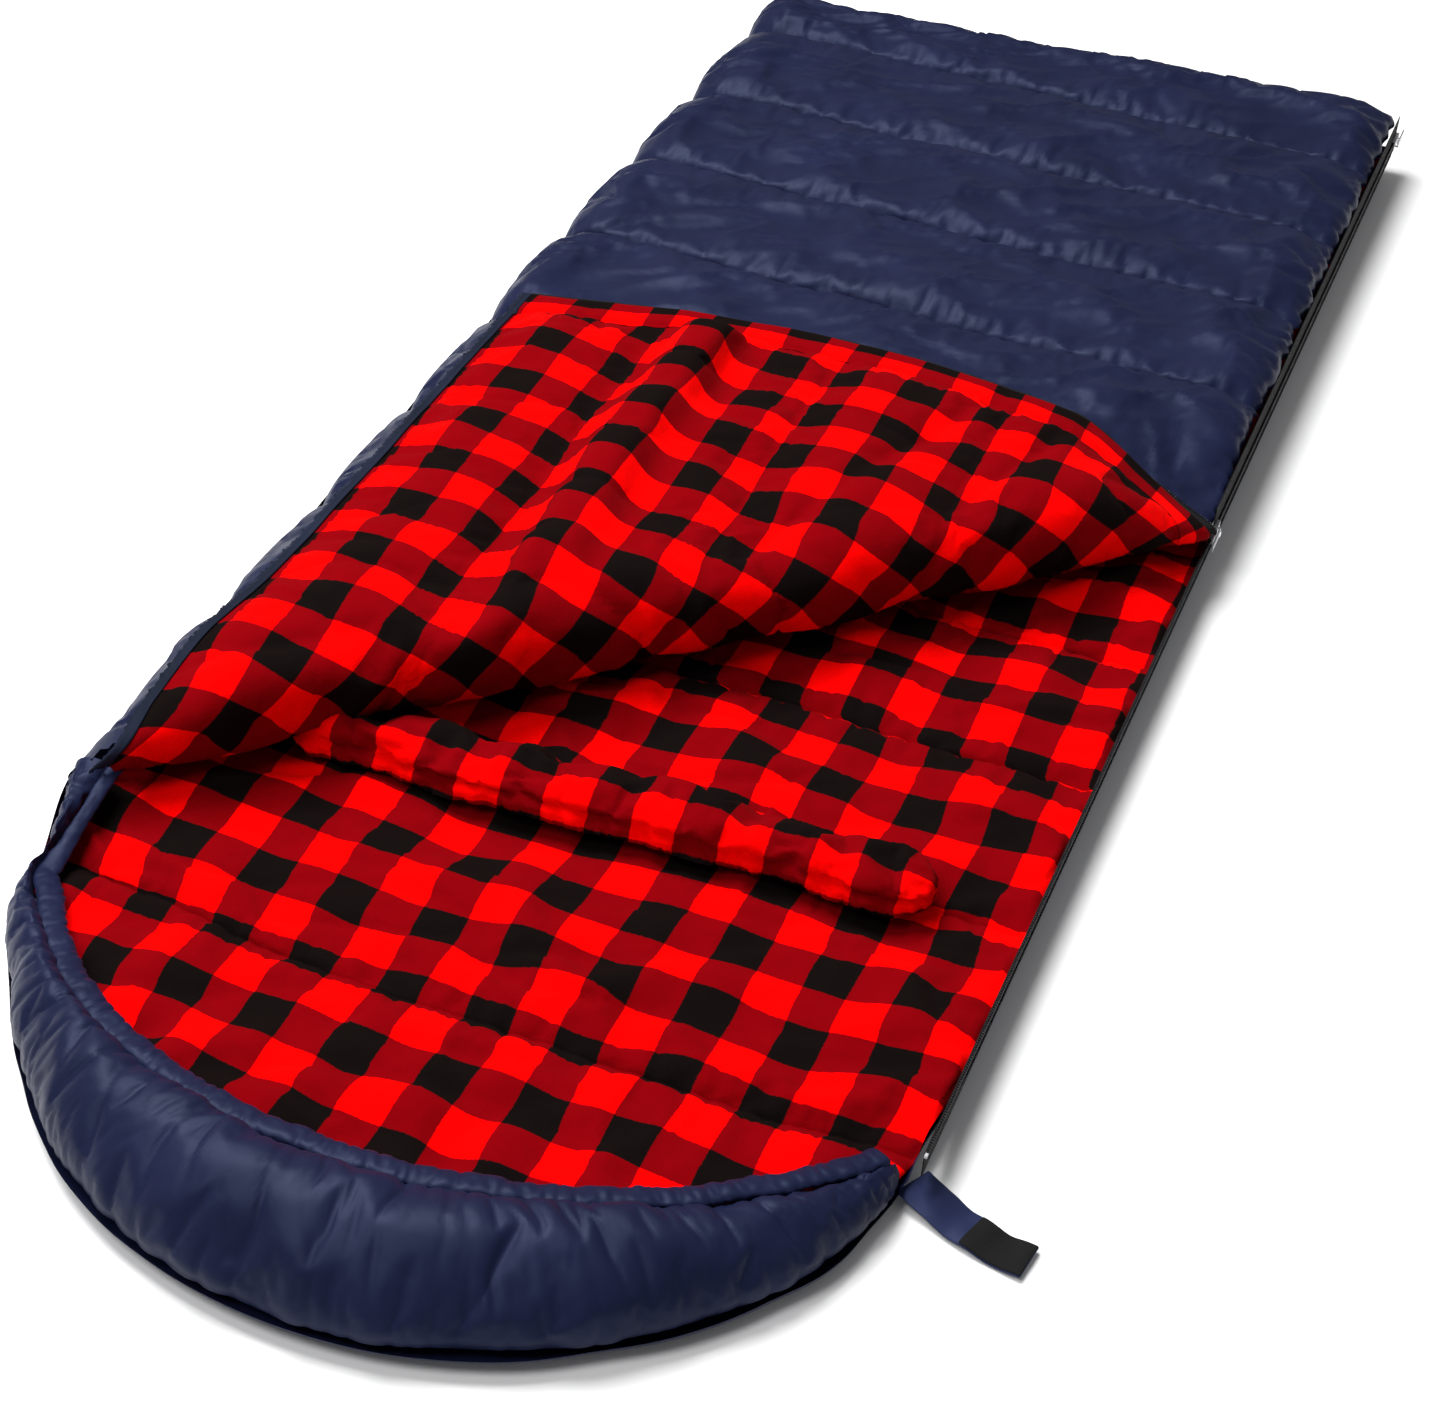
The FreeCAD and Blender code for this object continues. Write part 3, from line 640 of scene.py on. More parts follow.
def base_grid(shrink, step):
    """Plan places over the whole lower quilt, each one's distance from the edge, and how many
    there are in a row."""
    share = edge_steps(-HALF, HALF, step) / HALF
    body = seam_rows(NECK, FOOT, BASE_SEAMS, step * 1.4)
    turn = np.linspace(math.pi / 2, 0.048, 62)
    close = NECK - np.array((0.0115, 0.0080, 0.0045, 0.0020))
    rows = np.concatenate([NECK - HOOD_LONG * np.sin(turn), close, body])
    u, y = spread(share, rows)
    past = np.clip((NECK - y) / HOOD_LONG, 0, 1)
    smaller = 0.001 + shrink * ease(past / 0.2)
    half = (HALF - smaller) * np.sqrt(np.maximum(1 - past ** 2, 0)) + 0.0005
    x = u * half
    y = NECK - past * (HOOD_LONG - smaller) + np.maximum(y - NECK, 0)
    side = HALF * (1 - np.abs(u))
    round_edge = (1 - np.sqrt(u ** 2 * (1 - past ** 2) + past ** 2)) * HOOD_LONG
    edge = np.where(past > 0, np.minimum(side, round_edge), side)
    return x, y, edge, len(share)


def lower_edge(x, y):
    """Height of the lower quilt's edge: at the zip, the closed side and the foot."""
    level = np.where(FOOT - y < 0.05, SIDE_SEAM_Z, closed_level(y))
    zip_level = LOW_SEAM_Z + (ZIP_Z - ZIP_BAND - LOW_SEAM_Z) * ease((y - NECK) / 0.03)
    return level + (zip_level - level) * ease((x - HALF + 0.10) / 0.06)


def base_quilt_lining():
    """Check flannel over the lower quilt and on over the hood."""
    x, y, edge, columns = base_grid(0.014, FINE * 1.15)
    full, away = channel(y, BASE_SEAMS)
    unsewn = tucked(y, BASE_SEAMS[1:-2], BASE_TUCKS, 0.0008)
    # the flannel is joined at a seam under the flap, where the checks don't meet
    slip = 0.016 + PANEL_SLIP * (0.5 + 0.5 * np.tanh((y - BASE_SEAMS[7]) / 0.0016))
    # the tuck at the neck draws the hood's cloth up to it
    below = 1 / (1 + np.exp((y - NECK) / 0.0030))
    unsewn -= 0.0150 * below * np.exp(np.minimum(y - NECK, 0) / 0.08)
    wander = (1.6 * seam_wander(x, 12) + 0.010 * perlin(x / 0.4, y / 0.5, 13)) * (y > NECK)
    y = y + wander * ease((FOOT - y) / 0.1) * ease((y - NECK) / 0.1)
    crest, seam_z = BASE_TOP + 0.011, BASE_TOP - 0.015
    gather = puckers(x, away, 22, 0.024)
    top = seam_z + (crest - seam_z) * full + 0.0045 * gather
    rough = 1 + 0.7 * (y < NECK)
    top += 0.0070 * full * perlin(x / 0.14, y / 0.10, 32)
    top += 0.0042 * rough * full * perlin(x / 0.055, y / 0.050, 34)
    top -= 0.0055 * rough * full * creases((x + 0.4 * y) / 0.20, (y - 0.25 * x) / 0.055, 42)
    edge_z = lower_edge(x, y)
    z = edge_z + (top - edge_z) * round_off(edge / 0.030)
    ruffle = 0.0048 * perlin(x / 0.10, y / 0.09, 35), 0.0060 * perlin(x / 0.085, y / 0.075, 36)
    bent = 0.016 + 0.022 * ease((-x - 0.14) / 0.20) + 0.008 * ease((x - 0.28) / 0.08)
    bent += 0.004 * ripple(x / 0.06, 14)
    shift = bent * np.exp(-((y - NECK) / 0.06) ** 2)
    fabric = stacked(x + ruffle[0] + slip, unsewn + ruffle[1] + shift)
    x = x + 0.016 * (x < 0) * ease(1 - edge / 0.05) * ease((y - NECK - 0.005) / 0.08)
    y = y - 0.020 * ease(1 - (FOOT - y) / 0.06)
    x, y = shape_hood(x, y + shift)
    points = stacked(x, skew_foot(x, y), z)
    piece = grid_piece("base_quilt_lining", points, columns, fabric, CHECKED)
    settle(piece, (away < 0.0030) | (edge < 0.006), 1.2, 0.035, cap=0.010)
    mend(piece)
    finish_piece(piece, "neck", "check_flannel", "base_lining", "base_fill",
                 "hood_pad_lining", "hood_pad_fill")


def base_quilt_shell():
    """Navy shell under the lower quilt and the hood, turning up round their edges."""
    x, y, edge, columns = base_grid(0.0, STEP * 1.3)
    full, away = channel(y, BASE_SEAMS)
    gather = puckers(x, away, 23)
    low = 0.0006 + 0.0060 * (1 - full) + 0.0010 * np.abs(gather)
    edge_z = lower_edge(x, y)
    near = np.minimum(edge, FOOT - y)
    z = edge_z + (low - edge_z) * round_off(near / 0.036)
    fabric = stacked(x, y)
    closed = ease((y - FOLD_LEFT) / 0.05) * (x < 0)
    pull = (0.012 * (1 - full) + 0.002 * gather) * closed
    puff = 0.0030 * (y > NECK) + 0.0045 * (y <= NECK) * perlin(x / 0.07, y / 0.07, 53)
    x = x + np.sign(x) * ease(1 - edge / 0.05) * (puff * (x > 0) + (puff - pull) * (x < 0))
    x, y = shape_hood(x, y)
    points = stacked(x, skew_foot(x, y), np.maximum(z, 0.0004))
    piece = grid_piece("base_quilt_shell", points, columns, fabric, NAVY, flipped=True)
    mend(piece)
    subdivide(piece)
    finish_piece(piece, "neck", "navy_taffeta", "base_shell", "hood_pad_shell")


# ---- the turned-back corner ----

ROLL = 0.0205
QUILT_HALF = 0.0185
TURN = math.pi * ROLL
SHIFT = TURN / ROOT_2
CORNER_SEAMS = [-0.38, -0.185, 0.008, 0.195, 0.40]
HEM = 0.040
TUCKS = [seam + FOLD_Y - SHIFT for seam in CORNER_SEAMS]
MOUTH_REACH = 0.16
HEAD_INSET = 0.0265
HEAD_ROW = FOLD_LEFT + HEAD_INSET


def round_the_fold(x, y, height):
    """Carry points of the closed upper quilt's plane round the fold: x, y in that plane, and
    height towards the lining. Past the fold they lie upside down on the upper quilt."""
    away = -fold_distance(x, y)
    along = ((x - FOLD_X) + (y - FOLD_Y)) / ROOT_2
    angle = np.clip(away, 0, TURN) / ROLL - math.pi / 2
    across = (ROLL + height) * np.cos(angle) - np.maximum(away - TURN, 0)
    across = np.where(away < 0, away, across)
    z = FOLD_Z + (ROLL + height) * np.sin(angle)
    # the roll hangs onto the lower quilt, and lifts again inside the mouth
    hang = np.where(height > 0, 0.022, 0.006) * (1 - ease(-away / (MOUTH_REACH * 0.7)))
    z -= hang * ease(-np.sin(angle))
    return stacked(FOLD_X + (along + across) / ROOT_2, FOLD_Y + (along - across) / ROOT_2, z)


def corner_plane(shares, rows, strip=False):
    """Places on the corner in the closed quilt's plane. shares run from inside the mouth (0) to
    the zip's edge (1), or with strip set are distances from that edge, and rows run from the
    head's edge to the slider. The zip's edge bows out, and the head's edge comes nearer to the
    side at the fold."""
    share, row = spread(shares, rows)
    start = np.maximum(row - FOLD_Y - MOUTH_REACH, -HALF)
    bow = 0.072 * np.cos(math.pi / 2 * np.clip((row + SHIFT - FOLD_Y - 0.04) / 0.40, -1, 1))
    edge = HALF + (0.0155 + bow) * ease((FOLD_RIGHT - row) / 0.10)
    x = edge - share if strip else start + (edge - start) * share
    clear = ease((x + HALF) / 0.34)
    y = row - HEAD_INSET * (1 - clear) * (1 - ease((row - HEAD_ROW) / 0.10))
    return x, y, edge - x, row - HEAD_ROW


def corner_surface(shares, rows, lift=0.0, under=False, strip=False):
    """The corner's soft surface: its lining, or its shell where under is set."""
    x, y, zip_away, head_away = corner_plane(shares, rows, strip)
    zip_away, head_away = np.maximum(zip_away, 0), np.maximum(head_away, 0)
    plane = -fold_distance(x, y)
    across = y - FOLD_Y + SHIFT
    full, away = channel(across + 1.5 * seam_wander(x, 15), CORNER_SEAMS)
    past_hem = ease((zip_away - HEM) / 0.012)
    full = 1 + (full - 1) * past_hem
    padded = 0.30 * slope_off(zip_away / 0.008) + 0.70 * slope_off((zip_away - HEM + 0.002) / 0.05)
    edge = padded * (0.06 + 0.94 * slope_off(head_away / 0.080))
    gather = puckers(x, away, 25 + under, 0.022) * past_hem
    on_top = ease((plane - TURN * 0.6) / 0.07)
    if under:
        height = -QUILT_HALF * (0.66 + 0.26 * full) * (0.25 + 0.75 * edge) + lift
    else:
        thick = QUILT_HALF * (0.62 + 0.50 * full) + 0.0022 * gather
        thick += 0.0045 * full * perlin(x / 0.13, y / 0.12, 33)
        thick -= 0.0050 * full * creases((x - 0.3 * y) / 0.08, (y + 0.4 * x) / 0.22, 44)
        height = thick * (0.22 + 0.78 * edge) + lift
        stitch = np.exp(-((zip_away - HEM) / 0.004) ** 2) * on_top
        drawn = puckers(y, np.abs(zip_away - HEM), 61, 0.016) * on_top
        height += 0.0038 * drawn - 0.0035 * stitch
    points = round_the_fold(x, y, height)
    # soft waves, and one tall loose fold that runs down from the hem
    lie = on_top * np.minimum(edge * 1.15, 1)
    wave = 0.006 * perlin(x / 0.17, y / 0.12, 36) + 0.003 * perlin(x / 0.07, y / 0.06, 37)
    middle = -0.128 + 0.10 * np.clip(FOLD_RIGHT - 0.2 - points[:, 1], 0, 1) ** 1.5
    beside = points[:, 0] - middle
    ridge = np.exp(-(beside / 0.030) ** 4) - 0.30 * np.exp(-((beside - 0.055) / 0.022) ** 2)
    ridge -= 0.22 * np.exp(-((beside + 0.060) / 0.025) ** 2)
    ridge *= ease((zip_away - HEM * 0.8) / 0.05) * (0.6 + 0.4 * ease((plane - TURN) / 0.12))
    # lesser hollows run the same way, nearer the slider: place, width and depth of each
    slant = points[:, 0] - 0.35 * points[:, 1]
    lesser = (0.125, 0.016, 0.0075), (0.225, 0.014, 0.0065), (-0.265, 0.018, 0.004)
    for place, wide, deep in lesser:
        ridge -= deep / 0.022 * np.exp(-((slant - place) / wide) ** 2)
    points[:, 2] += lie * (wave + 0.022 * ridge) * (0.35 if under else 1.0)
    # past the roll nothing hangs below the level from which the corner turns as a whole
    points[:, 2] = np.maximum(points[:, 2], np.where(plane > TURN * 0.8, FOLD_Z + 0.0012, 0))
    ruffle = 0.0040 * perlin(x / 0.10, y / 0.09, 38), 0.0040 * perlin(x / 0.085, y / 0.075, 39)
    # the lining is the outer layer of the roll, so more of it goes round
    extra = math.pi * QUILT_HALF * ease(plane / TURN) / ROOT_2
    fabric = stacked(x + ruffle[0] + extra, tucked(y + ruffle[1], TUCKS) - extra)
    return sink(points), fabric, zip_away, head_away, plane, away


def corner_rows(step=FINE * 1.1):
    return edge_steps(HEAD_ROW, FOLD_RIGHT, step)


def corner_shares(count=176):
    """Even steps, closing up a little to the zip's edge."""
    even = np.linspace(0, 1, count)
    return 1 - (1 - even) ** 1.15


def corner_lining():
    """Check flannel of the turned-back corner, carried round the fold into the bag's mouth."""
    shares, rows = corner_shares(), corner_rows()
    points, fabric, zip_away, head_away, plane, away = corner_surface(shares, rows)
    keep = (plane > -MOUTH_REACH) & ((plane > TURN * 0.3) | (fabric[:, 0] > 0.045 - HALF))
    keep &= (zip_away > HEM - 0.012) | (plane < TURN * 0.4)
    piece = grid_piece("corner_lining", points, len(shares), fabric, CHECKED, keep)
    held = (away < 0.0035) | (zip_away < HEM + 0.006) | (head_away < 0.008) | (plane < 0.01)
    settle(piece, held, 1.2, 0.035, cap=0.010)
    mend(piece)
    finish_piece(piece, "fold", "check_flannel", "flap_lining", "flap_fill", "fold_lining",
                 "fold_fill")


def corner_shell():
    """Navy shell of the turned-back corner: it faces down onto the upper quilt."""
    shares, rows = corner_shares(88), corner_rows(STEP)
    points, fabric, _, _, plane, _ = corner_surface(shares, rows, under=True)
    piece = grid_piece("corner_shell", points, len(shares), fabric, NAVY, plane > TURN * 0.9,
                       flipped=True)
    mend(piece)
    subdivide(piece)
    finish_piece(piece, "fold", "navy_taffeta", "flap_shell", "fold_shell")


def corner_facing():
    """The strip of check flannel that faces the corner's zip edge, stitched down."""
    rows, places = corner_rows(), np.linspace(HEM + 0.002, 0.0, 14)
    points, fabric, zip_away, _, plane, _ = corner_surface(places, rows, lift=0.0014, strip=True)
    fabric = stacked(zip_away + FACING_PHASE, fabric[:, 1])
    piece = grid_piece("corner_facing", points, len(places), fabric, CHECKED, plane > TURN * 0.2)
    mend(piece)
    finish_piece(piece, "fold", "check_flannel", "flap_zip_facing")


# ---- the neck roll ----


def neck_roll():
    """Check flannel roll across the neck, flat underneath and gathered at its ends."""
    low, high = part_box("neck_roll_cover")
    rounded = 0.034
    cap = rounded * (1 - np.cos(np.linspace(0, math.pi / 2, 12)))[:-1]
    even = np.linspace(low[0] + rounded, high[0] - rounded, 130)
    along = np.concatenate([low[0] + cap, even, high[0] - cap[::-1]])
    turn = np.linspace(0, 2 * math.pi, 52, endpoint=False)
    place, angle = spread(along, turn, "ij")
    ends = np.minimum(place - low[0], high[0] - place)
    body = round_off((ends + 0.001) / rounded)
    middle = (low[1] + high[1]) / 2 + 0.012 * np.sin((place - 0.05) / 0.19)
    middle += 0.004 * ripple(place / 0.11, 71)
    half = (high[1] - low[1]) / 2 + 0.005
    tall = high[2] - BASE_TOP + 0.005
    bulge = 1 + 0.17 * perlin(place / 0.075, angle / 1.4, 72)
    bulge += 0.09 * perlin(place / 0.030, angle / 0.8, 73)
    bulge -= 0.10 * creases((place + 0.02 * angle) / 0.085, angle / 2.0, 75)
    gather = 1 + 0.05 * perlin(ends / 0.05, angle / 0.22, 74) * np.exp(-ends / 0.035)
    reach = body * bulge * gather
    y = middle + half * reach * np.cos(angle)
    lift = np.sin(angle)
    up = np.where(lift > 0, np.abs(lift) ** 0.85, -0.12 * np.abs(lift)) * (0.25 + 0.75 * body)
    z = BASE_TOP + 0.0015 + tall * 0.18 + tall * 0.90 * up * bulge * gather
    seam = np.exp(-((angle - 2.75) / 0.09) ** 2)
    y += 0.004 * seam
    piece = grid_piece("neck_roll", stacked(place, y, z), len(turn),
                       stacked(place + 0.010, 0.030 * angle), CHECKED, closed=True)
    mend(piece, close=True)
    settle(piece, (lift < -0.3) | (seam > 0.5) | (ends < 0.002), 1.2, 0.075, cap=0.012)
    finish_piece(piece, "bag", "check_flannel", "neck_roll_cover", "neck_roll_fill")
    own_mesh(piece)


# ---- the hood's rolled rim ----

RIM_TURN = (math.radians(56.5), math.radians(-57.0))
RIM_ARC = 0.92
RIM_PAST = 0.118
CASING_LINE = 0.4634
CASING_BACK = 0.255
RIM_TILT = math.radians(10)


def rim_lines(count):
    """The rim's outer seam and its drawn-in edge, matched place by place from right to left."""
    share = np.linspace(0, 1, count)
    arc = np.minimum(share / RIM_ARC, 1)
    past = np.maximum(share - RIM_ARC, 0) / (1 - RIM_ARC)
    turn = math.pi * arc
    plan = shape_hood((HALF - 0.003) * np.cos(turn),
                      NECK - (HOOD_LONG - 0.004) * np.sin(turn) + RIM_PAST * past)
    level = LOW_SEAM_Z + (closed_level(plan[1]) - LOW_SEAM_Z) * (share > 0.5)
    outer = stacked(*plan, level + 0.006)
    angle = RIM_TURN[0] + (RIM_TURN[1] - RIM_TURN[0]) * arc
    forward = CASING_BACK - CASING_LINE * np.cos(angle)
    inner = stacked(CASING_LINE * np.sin(angle) + 0.012 * ease((arc - 0.75) / 0.2),
                    NECK + forward * math.cos(RIM_TILT) + (RIM_PAST + 0.004) * past,
                    BASE_TOP + 0.002 + np.maximum(-forward, 0) * math.sin(RIM_TILT))
    inner[:, 2] += 0.028 * ease(past)
    return share, outer, inner


def running_length(line):
    return np.concatenate([[0], np.cumsum(np.linalg.norm(np.diff(line, axis=0), axis=1))])


def hood_rim():
    """Navy puffed rim round the hood, from its outer seam up over to the drawcord's casing."""
    share, outer, inner = rim_lines(420)
    length = running_length((outer + inner) / 2)
    turn = np.radians(np.concatenate([[-62, -40, -20], np.linspace(0, 180, 36)]))
    s, turning = spread(np.arange(len(share)), turn, "ij")
    out, into, run = outer[s], inner[s], length[s]
    facing = out[:, :2] - into[:, :2]
    wide = np.linalg.norm(facing, axis=1, keepdims=True)
    facing /= wide
    back = np.minimum(0.007, 0.30 * wide)
    into[:, :2] += facing * back
    wide = (wide - back)[:, 0]
    fat = np.sin(math.pi * np.clip(share[s], 0.002, 0.998)) ** 0.7
    fat = np.maximum(fat, 0.50 * ease((share[s] - 0.7) / 0.1) * (1 - ease((share[s] - 0.9) / 0.1)))
    tall = 0.012 + 0.030 * fat
    across = wide * turning / math.pi
    inward = np.maximum(wide - across, 0)
    gather = 0.8 * puckers(run, np.abs(across), 81, 0.020) + puckers(run, inward, 83, 0.034)
    soft = perlin(run / 0.10, across / 0.05, 85) + 0.5 * perlin(run / 0.045, across / 0.06, 86)
    arch = np.sin(np.clip(turning, 0, math.pi))
    patchy = ease(0.5 + 0.9 * perlin(run / 0.16, across / 0.12, 89))
    fold = patchy * creases((run + 0.8 * across) / 0.075, (run - 0.3 * across) / 0.30, 87)
    fold += (1 - patchy) * creases((run - 0.9 * across) / 0.055, (across + 0.2 * run) / 0.10, 88)
    fold += 0.5 * creases((run - 0.2 * across) / 0.030, (across + 0.3 * run) / 0.07, 90)
    swell = 0.0034 * gather + 0.0046 * soft - 0.0024 * fold * arch
    upper = np.sign(turning) * np.abs(np.sin(turning)) ** 0.85
    below = turning < 0
    reach = wide / 2 * np.cos(turning) + swell * np.cos(turning)
    plan = (out[:, :2] + into[:, :2]) / 2 + facing * reach[:, None]
    step = (1 - np.cos(turning)) / 2
    z = out[:, 2] + (into[:, 2] - 0.006 - out[:, 2]) * step + (tall + swell) * upper
    z = np.where(below, out[:, 2] - 0.010 * np.abs(np.sin(turning)) + 0.5 * swell, z)
    piece = grid_piece("hood_rim_shell", stacked(*plan.T, z), len(turn), stacked(run, across),
                       NAVY, flipped=True)
    ends = np.minimum(s, len(share) - 1 - s)
    held = (turning < 0.10) | (turning > math.pi - 0.05) | (ends < 2)
    settle(piece, held, 1.2, 0.032, cap=0.009)
    finish_piece(piece, "neck", "navy_taffeta", "rim_shell", "rim_fill")


def rim_lining():
    """Check flannel under the rim's lip, from the casing down onto the hood's lining."""
    share, outer, inner = rim_lines(130)
    steps = np.linspace(0, 1, 9)
    length = running_length(inner)
    s, step = spread(np.arange(len(share)), steps, "ij")
    plan = inner[s, :2] + (outer[s, :2] - inner[s, :2]) * (0.80 * step ** 0.8)[:, None]
    bottom = BASE_TOP - 0.004
    z = inner[s, 2] - 0.003 + (bottom - inner[s, 2]) * step ** 1.4
    z += 0.002 * perlin(length[s] / 0.03, step, 91)
    piece = grid_piece("hood_rim_lining", stacked(*plan.T, z), len(steps),
                       stacked(length[s], 0.12 * step), CHECKED)
    finish_piece(piece, "neck", "check_flannel", "rim_lining")


def hood_casing():
    """Gathered navy casing along the hood's opening, with the drawcord inside."""
    share, _, inner = rim_lines(520)
    length = running_length(inner)
    turn = np.linspace(0, 2 * math.pi, 16, endpoint=False)
    s, angle = spread(np.arange(len(inner)), turn, "ij")
    run = length[s]
    ahead = unit(np.gradient(inner, axis=0))
    side = stacked(-ahead[:, 1], ahead[:, 0], 0 * share)
    gather = 1.12 - 0.42 * creases(run / 0.012, angle / 1.7, 92)
    gather += 0.20 * perlin(run / 0.022, angle / 2, 93)
    sway = 0.0025 * ripple(run / 0.05, 94)
    taper = 1 - 0.45 * ease((share[s] - 0.90) / 0.06)
    out = taper * (0.0125 * np.cos(angle) * (0.6 + 0.4 * gather) + sway) - 0.001
    up = taper * 0.0052 * gather * np.sin(angle) + 0.0020 * np.cos(angle)
    points = inner[s] + side[s] * out[:, None]
    points[:, 2] += up + 0.004
    piece = grid_piece("hood_casing_cloth", points, len(turn), stacked(run, 0.008 * angle), NAVY,
                       closed=True)
    mend(piece, close=True, outward=True)
    finish_piece(piece, "neck", "navy_taffeta", "hood_casing")


# ---- the zip ----

PITCH = 0.0030


def row_of_boxes(name, middles, aheads, sides, size, material):
    """Identical rounded teeth: one at each place, turned to its own ahead and side."""
    ups = np.cross(aheads, sides)
    corners = np.array([(a, b, c) for a in (-0.5, 0.5) for b in (-0.5, 0.5) for c in (-0.5, 0.5)])
    quads = [(0, 1, 3, 2), (4, 6, 7, 5), (0, 4, 5, 1), (2, 3, 7, 6), (0, 2, 6, 4), (1, 5, 7, 3)]
    axes = stacked(aheads * size[0], sides * size[1], ups * size[2])
    points = (middles[:, None] + corners @ axes).reshape(-1, 3)
    faces = [tuple(first + q for q in quad) for first in range(0, len(points), 8)
             for quad in quads]
    piece = make_piece(name, points, faces, material=material)
    change = piece.modifiers.new("rounding", "BEVEL")
    change.width = 0.0003
    return piece


def side_teeth(name, node, offset):
    """The coil along one of the bag's zip tapes, as its row of teeth."""
    low, high = np.array(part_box(node))
    places = np.arange(low[1] + PITCH * (0.5 + offset), high[1], PITCH)
    middles, aheads, sides = (np.tile(vector, (len(places), 1)) for vector in
                              ((low + high) / 2, (0.0, 1.0, 0.0), (1.0, 0.0, 0.0)))
    middles[:, 1] = places
    size = (0.0017, high[0] - low[0], high[2] - low[2])
    piece = row_of_boxes(name, middles, aheads, sides, size, COIL)
    finish_piece(piece, "bag", "zip_coil", node)


def corner_border(count):
    """Points along the corner's zip edge from the slider, and the way out from the cloth."""
    rows = np.linspace(FOLD_RIGHT - 0.004, FOLD_LEFT + 0.030, count)
    places = np.array([0.020, 0.0])
    points, *_ = corner_surface(places, rows, strip=True)
    under, *_ = corner_surface(places, rows, under=True, strip=True)
    middle = (points + under).reshape(count, 2, 3) / 2
    edge = middle[:, 1]
    out = edge - middle[:, 0]
    out[:, 2] *= 0.3
    return edge, unit(out)


def corner_tape():
    """Zip tape along the corner's edge: it shows beside the slider, then turns under."""
    count, lowest = 340, 0.060
    edge, out = corner_border(count)
    run = running_length(edge)
    turned = np.radians(12 + 88 * ease((run - 0.06) / 0.16))
    down = np.array((0.0, 0.0, -1.0))
    way = out * np.cos(turned)[:, None] + down * np.sin(turned)[:, None]
    wide = np.linspace(-0.006, 0.0125, 6)
    way *= (0.35 + 0.65 * ease(run / 0.05))[:, None]
    points = across_line(edge, way, wide)
    fabric = stacked(*spread(run, wide, "ij"))
    points[:, 2] += 0.0006 * perlin(fabric[:, 0] / 0.02, fabric[:, 1], 95)
    points[:, 2] = np.maximum(points[:, 2], lowest)
    piece = grid_piece("corner_zip_tape", points, len(wide), fabric, TAPE)
    thicken(piece, 0.0009, 0.0)
    finish_piece(piece, "fold", "zip_tape", "zip_tape_flap")
    steps = np.arange(0.008, run[-1] - 0.012, PITCH)
    middles = stacked(*(np.interp(steps, run, line) for line in (edge + way * 0.0122).T))
    middles[:, 2] = np.maximum(middles[:, 2], lowest) + 0.0010
    aheads = unit(np.gradient(middles, axis=0))
    sides = stacked(*(np.interp(steps, run, line) for line in way.T))
    sides = unit(sides - aheads * np.sum(aheads * sides, axis=1, keepdims=True))
    teeth = row_of_boxes("corner_zip_teeth", middles, aheads, sides, (0.0017, 0.0024, 0.0024), COIL)
    finish_piece(teeth, "fold", "zip_coil", "zip_coil_flap")
    stop = row_of_boxes("corner_zip_stop", middles[-1:] + aheads[-1:] * 0.006, aheads[-1:],
                        sides[-1:], (0.0045, 0.0040, 0.0038), STEEL)
    finish_piece(stop, "flap", "stop_metal", "zip_flap_stop")


# ---- small sewn pieces ----


def corner_hem():
    """Overlocked raw edge along the corner's head side, with its uneven loops of thread."""
    rows = HEAD_ROW + np.linspace(-0.005, 0.005, 5)
    shares = np.linspace(0.02, 1, 420)
    points, fabric, *_ = corner_surface(shares, rows, lift=0.0016)
    grid = points.reshape(len(rows), len(shares), 3)
    run = fabric[:len(shares), 0]
    tooth = 0.0055 * np.abs(ripple(run / 0.0055, 96)) + 0.0025
    grid[0, :, 0] = grid[2, :, 0] - 0.002 - tooth
    grid[0, :, 2] = grid[2, :, 2] + 0.002 * ripple(run / 0.009, 97)
    grid[1, :, 0] = grid[2, :, 0] - 0.5 * tooth
    grid[1, :, 2] = grid[2, :, 2] + 0.0010
    keep = fold_distance(fabric[:, 0], fabric[:, 1]) < -TURN * 0.45
    piece = grid_piece("corner_hem", grid.reshape(-1, 3), len(shares), fabric, HEMMED, keep)
    mend(piece)
    thicken(piece, 0.0012, 0.0)
    finish_piece(piece, "fold", "navy_taffeta", "flap_head_hem")


def loop_patch():
    """Loop patch sewn under the corner, for the neck strap's hooks."""
    rows = np.linspace(-0.305, -0.255, 12) + FOLD_Y - SHIFT
    places = np.linspace(0.056, 0.020, 10)
    points, fabric, *_ = corner_surface(places, rows, lift=-0.0012, under=True, strip=True)
    piece = grid_piece("corner_loop_patch", points, len(places), fabric, LOOPS, flipped=True)
    thicken(piece, 0.0016, -1.0)
    finish_piece(piece, "flap", "loop_tape", "loop_patch")


def strap_line(along):
    """The strap's middle line: it leaves the neck's corner and lies out on the floor."""
    root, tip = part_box("strap_root")[0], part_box("strap")[1]
    start_y, end_y = -0.795, -0.830
    x = root[0] - 0.006 + (tip[0] - root[0] - 0.008) * along
    y = start_y + (end_y - start_y) * along - 0.006 * np.sin(math.pi * along)
    z = 0.0012 + 0.010 * (1 - along) ** 2 + 0.0035 * np.sin(2.6 * math.pi * along) ** 2 * along
    return stacked(x, y, z)


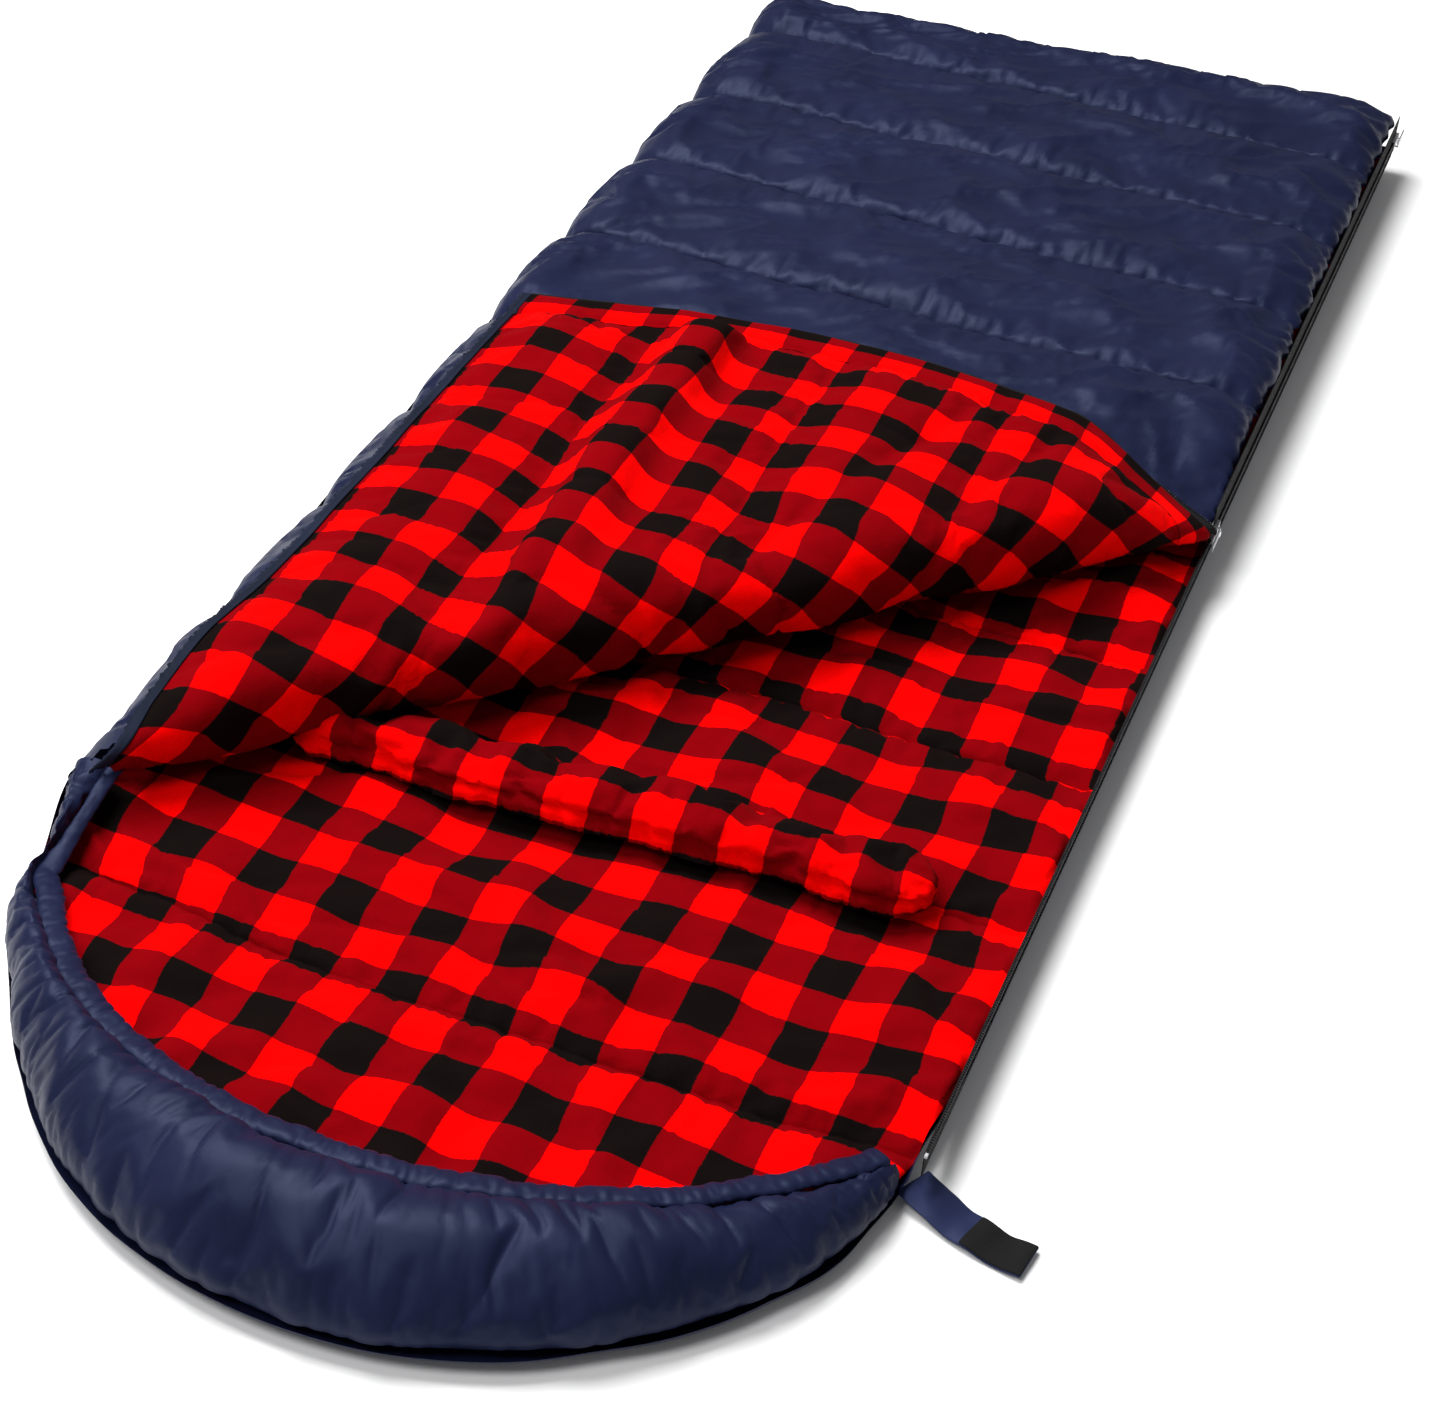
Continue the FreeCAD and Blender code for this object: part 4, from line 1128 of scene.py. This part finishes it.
def ribbon(name, low, high, width, count, across, material, lift=0.0):
    """A flat strip along the strap's middle line, with edges a little turned and uneven."""
    along = np.linspace(low, high, count)
    middle = strap_line(along)
    ahead = np.gradient(middle, axis=0)
    side = unit(stacked(-ahead[:, 1], ahead[:, 0], 0 * along))
    steps = np.linspace(-0.5, 0.5, across)
    points = across_line(middle, side, steps * width)
    a, b = spread(along, steps, "ij")
    points[:, 2] += lift + 0.0012 * (perlin(a * 6, b * 2, 97) + 0.6) + 0.0012 * (1 - (2 * b) ** 4)
    piece = grid_piece(name, points, across, stacked(a * 0.13, b * width), material)
    thicken(piece, 0.0014, 0.0)
    subdivide(piece)
    return piece


def neck_strap():
    strap = ribbon("neck_strap_webbing", 0.0, 1.0, 0.037, 60, 11, STRAPPING)
    finish_piece(strap, None, "strap_webbing", "strap_root", "strap")
    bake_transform(strap)
    patch = ribbon("neck_strap_hooks", 0.52, 0.995, 0.0355, 40, 11, HOOKS, lift=0.0016)
    finish_piece(patch, "neck_strap", "hook_tape", "hook_patch")


def paint_nodes():
    """Better materials on the CAD parts whose own shape is shown."""
    chosen = {"zip_tape_lower": TAPE, "zip_tape_upper": TAPE, "hood_drawcord": CORD,
              "zip_head_stop": STEEL, "zip_foot_stop": STEEL, "zip_slider_main": CHROME,
              "zip_pull_main": CHROME, "zip_slider_foot": CHROME, "zip_pull_foot": CHROME}
    for node, made in chosen.items():
        for place in frame["nodes"][node].material_slots:
            place.material = made


# ---- the photograph's view, the floor and the light ----


def look():
    data = bpy.data.cameras.new("camera")
    data.sensor_width = 36.0
    data.lens = 70.1
    data.clip_end = 60.0
    camera = linked("camera", data)
    right, up = (0.92783, 0.36799, 0.06095), (-0.27508, 0.56468, 0.77812)
    back = (0.25192, -0.73873, 0.62516)
    turn = Matrix((right, up, back)).transposed().to_4x4()
    camera.matrix_world = Matrix.Translation((0.7342, -1.4886 + NECK, 1.7043)) @ turn
    bpy.context.scene.camera = camera


def floor():
    points = [(-9, -9, 0), (9, -9, 0), (9, 9, 0), (-9, 9, 0)]
    made, tree, shader = new_material("floor")
    grain = noise_node(tree, object_vector(tree), 3.0)
    white = mix_colour(tree, grain, (0.93, 0.93, 0.93), (0.96, 0.96, 0.96))
    set_up(tree, shader, Base_Color=white, Roughness=0.85)
    make_piece("floor", points, [(0, 1, 2, 3)], material=made)


def area_light(name, place, target, size, power):
    data = bpy.data.lights.new(name, "AREA")
    data.shape = "DISK"
    data.size = size
    data.energy = power
    light = linked(name, data)
    light.location = place
    aim = Vector(target) - Vector(place)
    light.rotation_euler = aim.to_track_quat("-Z", "Y").to_euler()


def lights():
    world = bpy.data.worlds.new("world")
    bpy.context.scene.world = world
    world.use_nodes = True
    set_up(world.node_tree, world.node_tree.nodes["Background"], Color=(1, 1, 1), Strength=0.24)
    area_light("key", (-1.50, 0.25, 3.50), (0, 0, 0), 2.6, 245)
    area_light("front", (-0.9, -2.6, 3.6), (0, -0.3, 0), 1.6, 68)
    bpy.context.scene.view_settings.view_transform = "Standard"


look()
floor()
lights()
top_quilt_shell()
top_quilt_lining()
base_quilt_lining()
base_quilt_shell()
corner_lining()
corner_shell()
corner_facing()
neck_roll()
hood_rim()
rim_lining()
hood_casing()
side_teeth("zip_teeth_lower", "zip_coil_lower", 0.0)
side_teeth("zip_teeth_upper", "zip_coil_upper", 0.5)
corner_tape()
corner_hem()
loop_patch()
neck_strap()
paint_nodes()
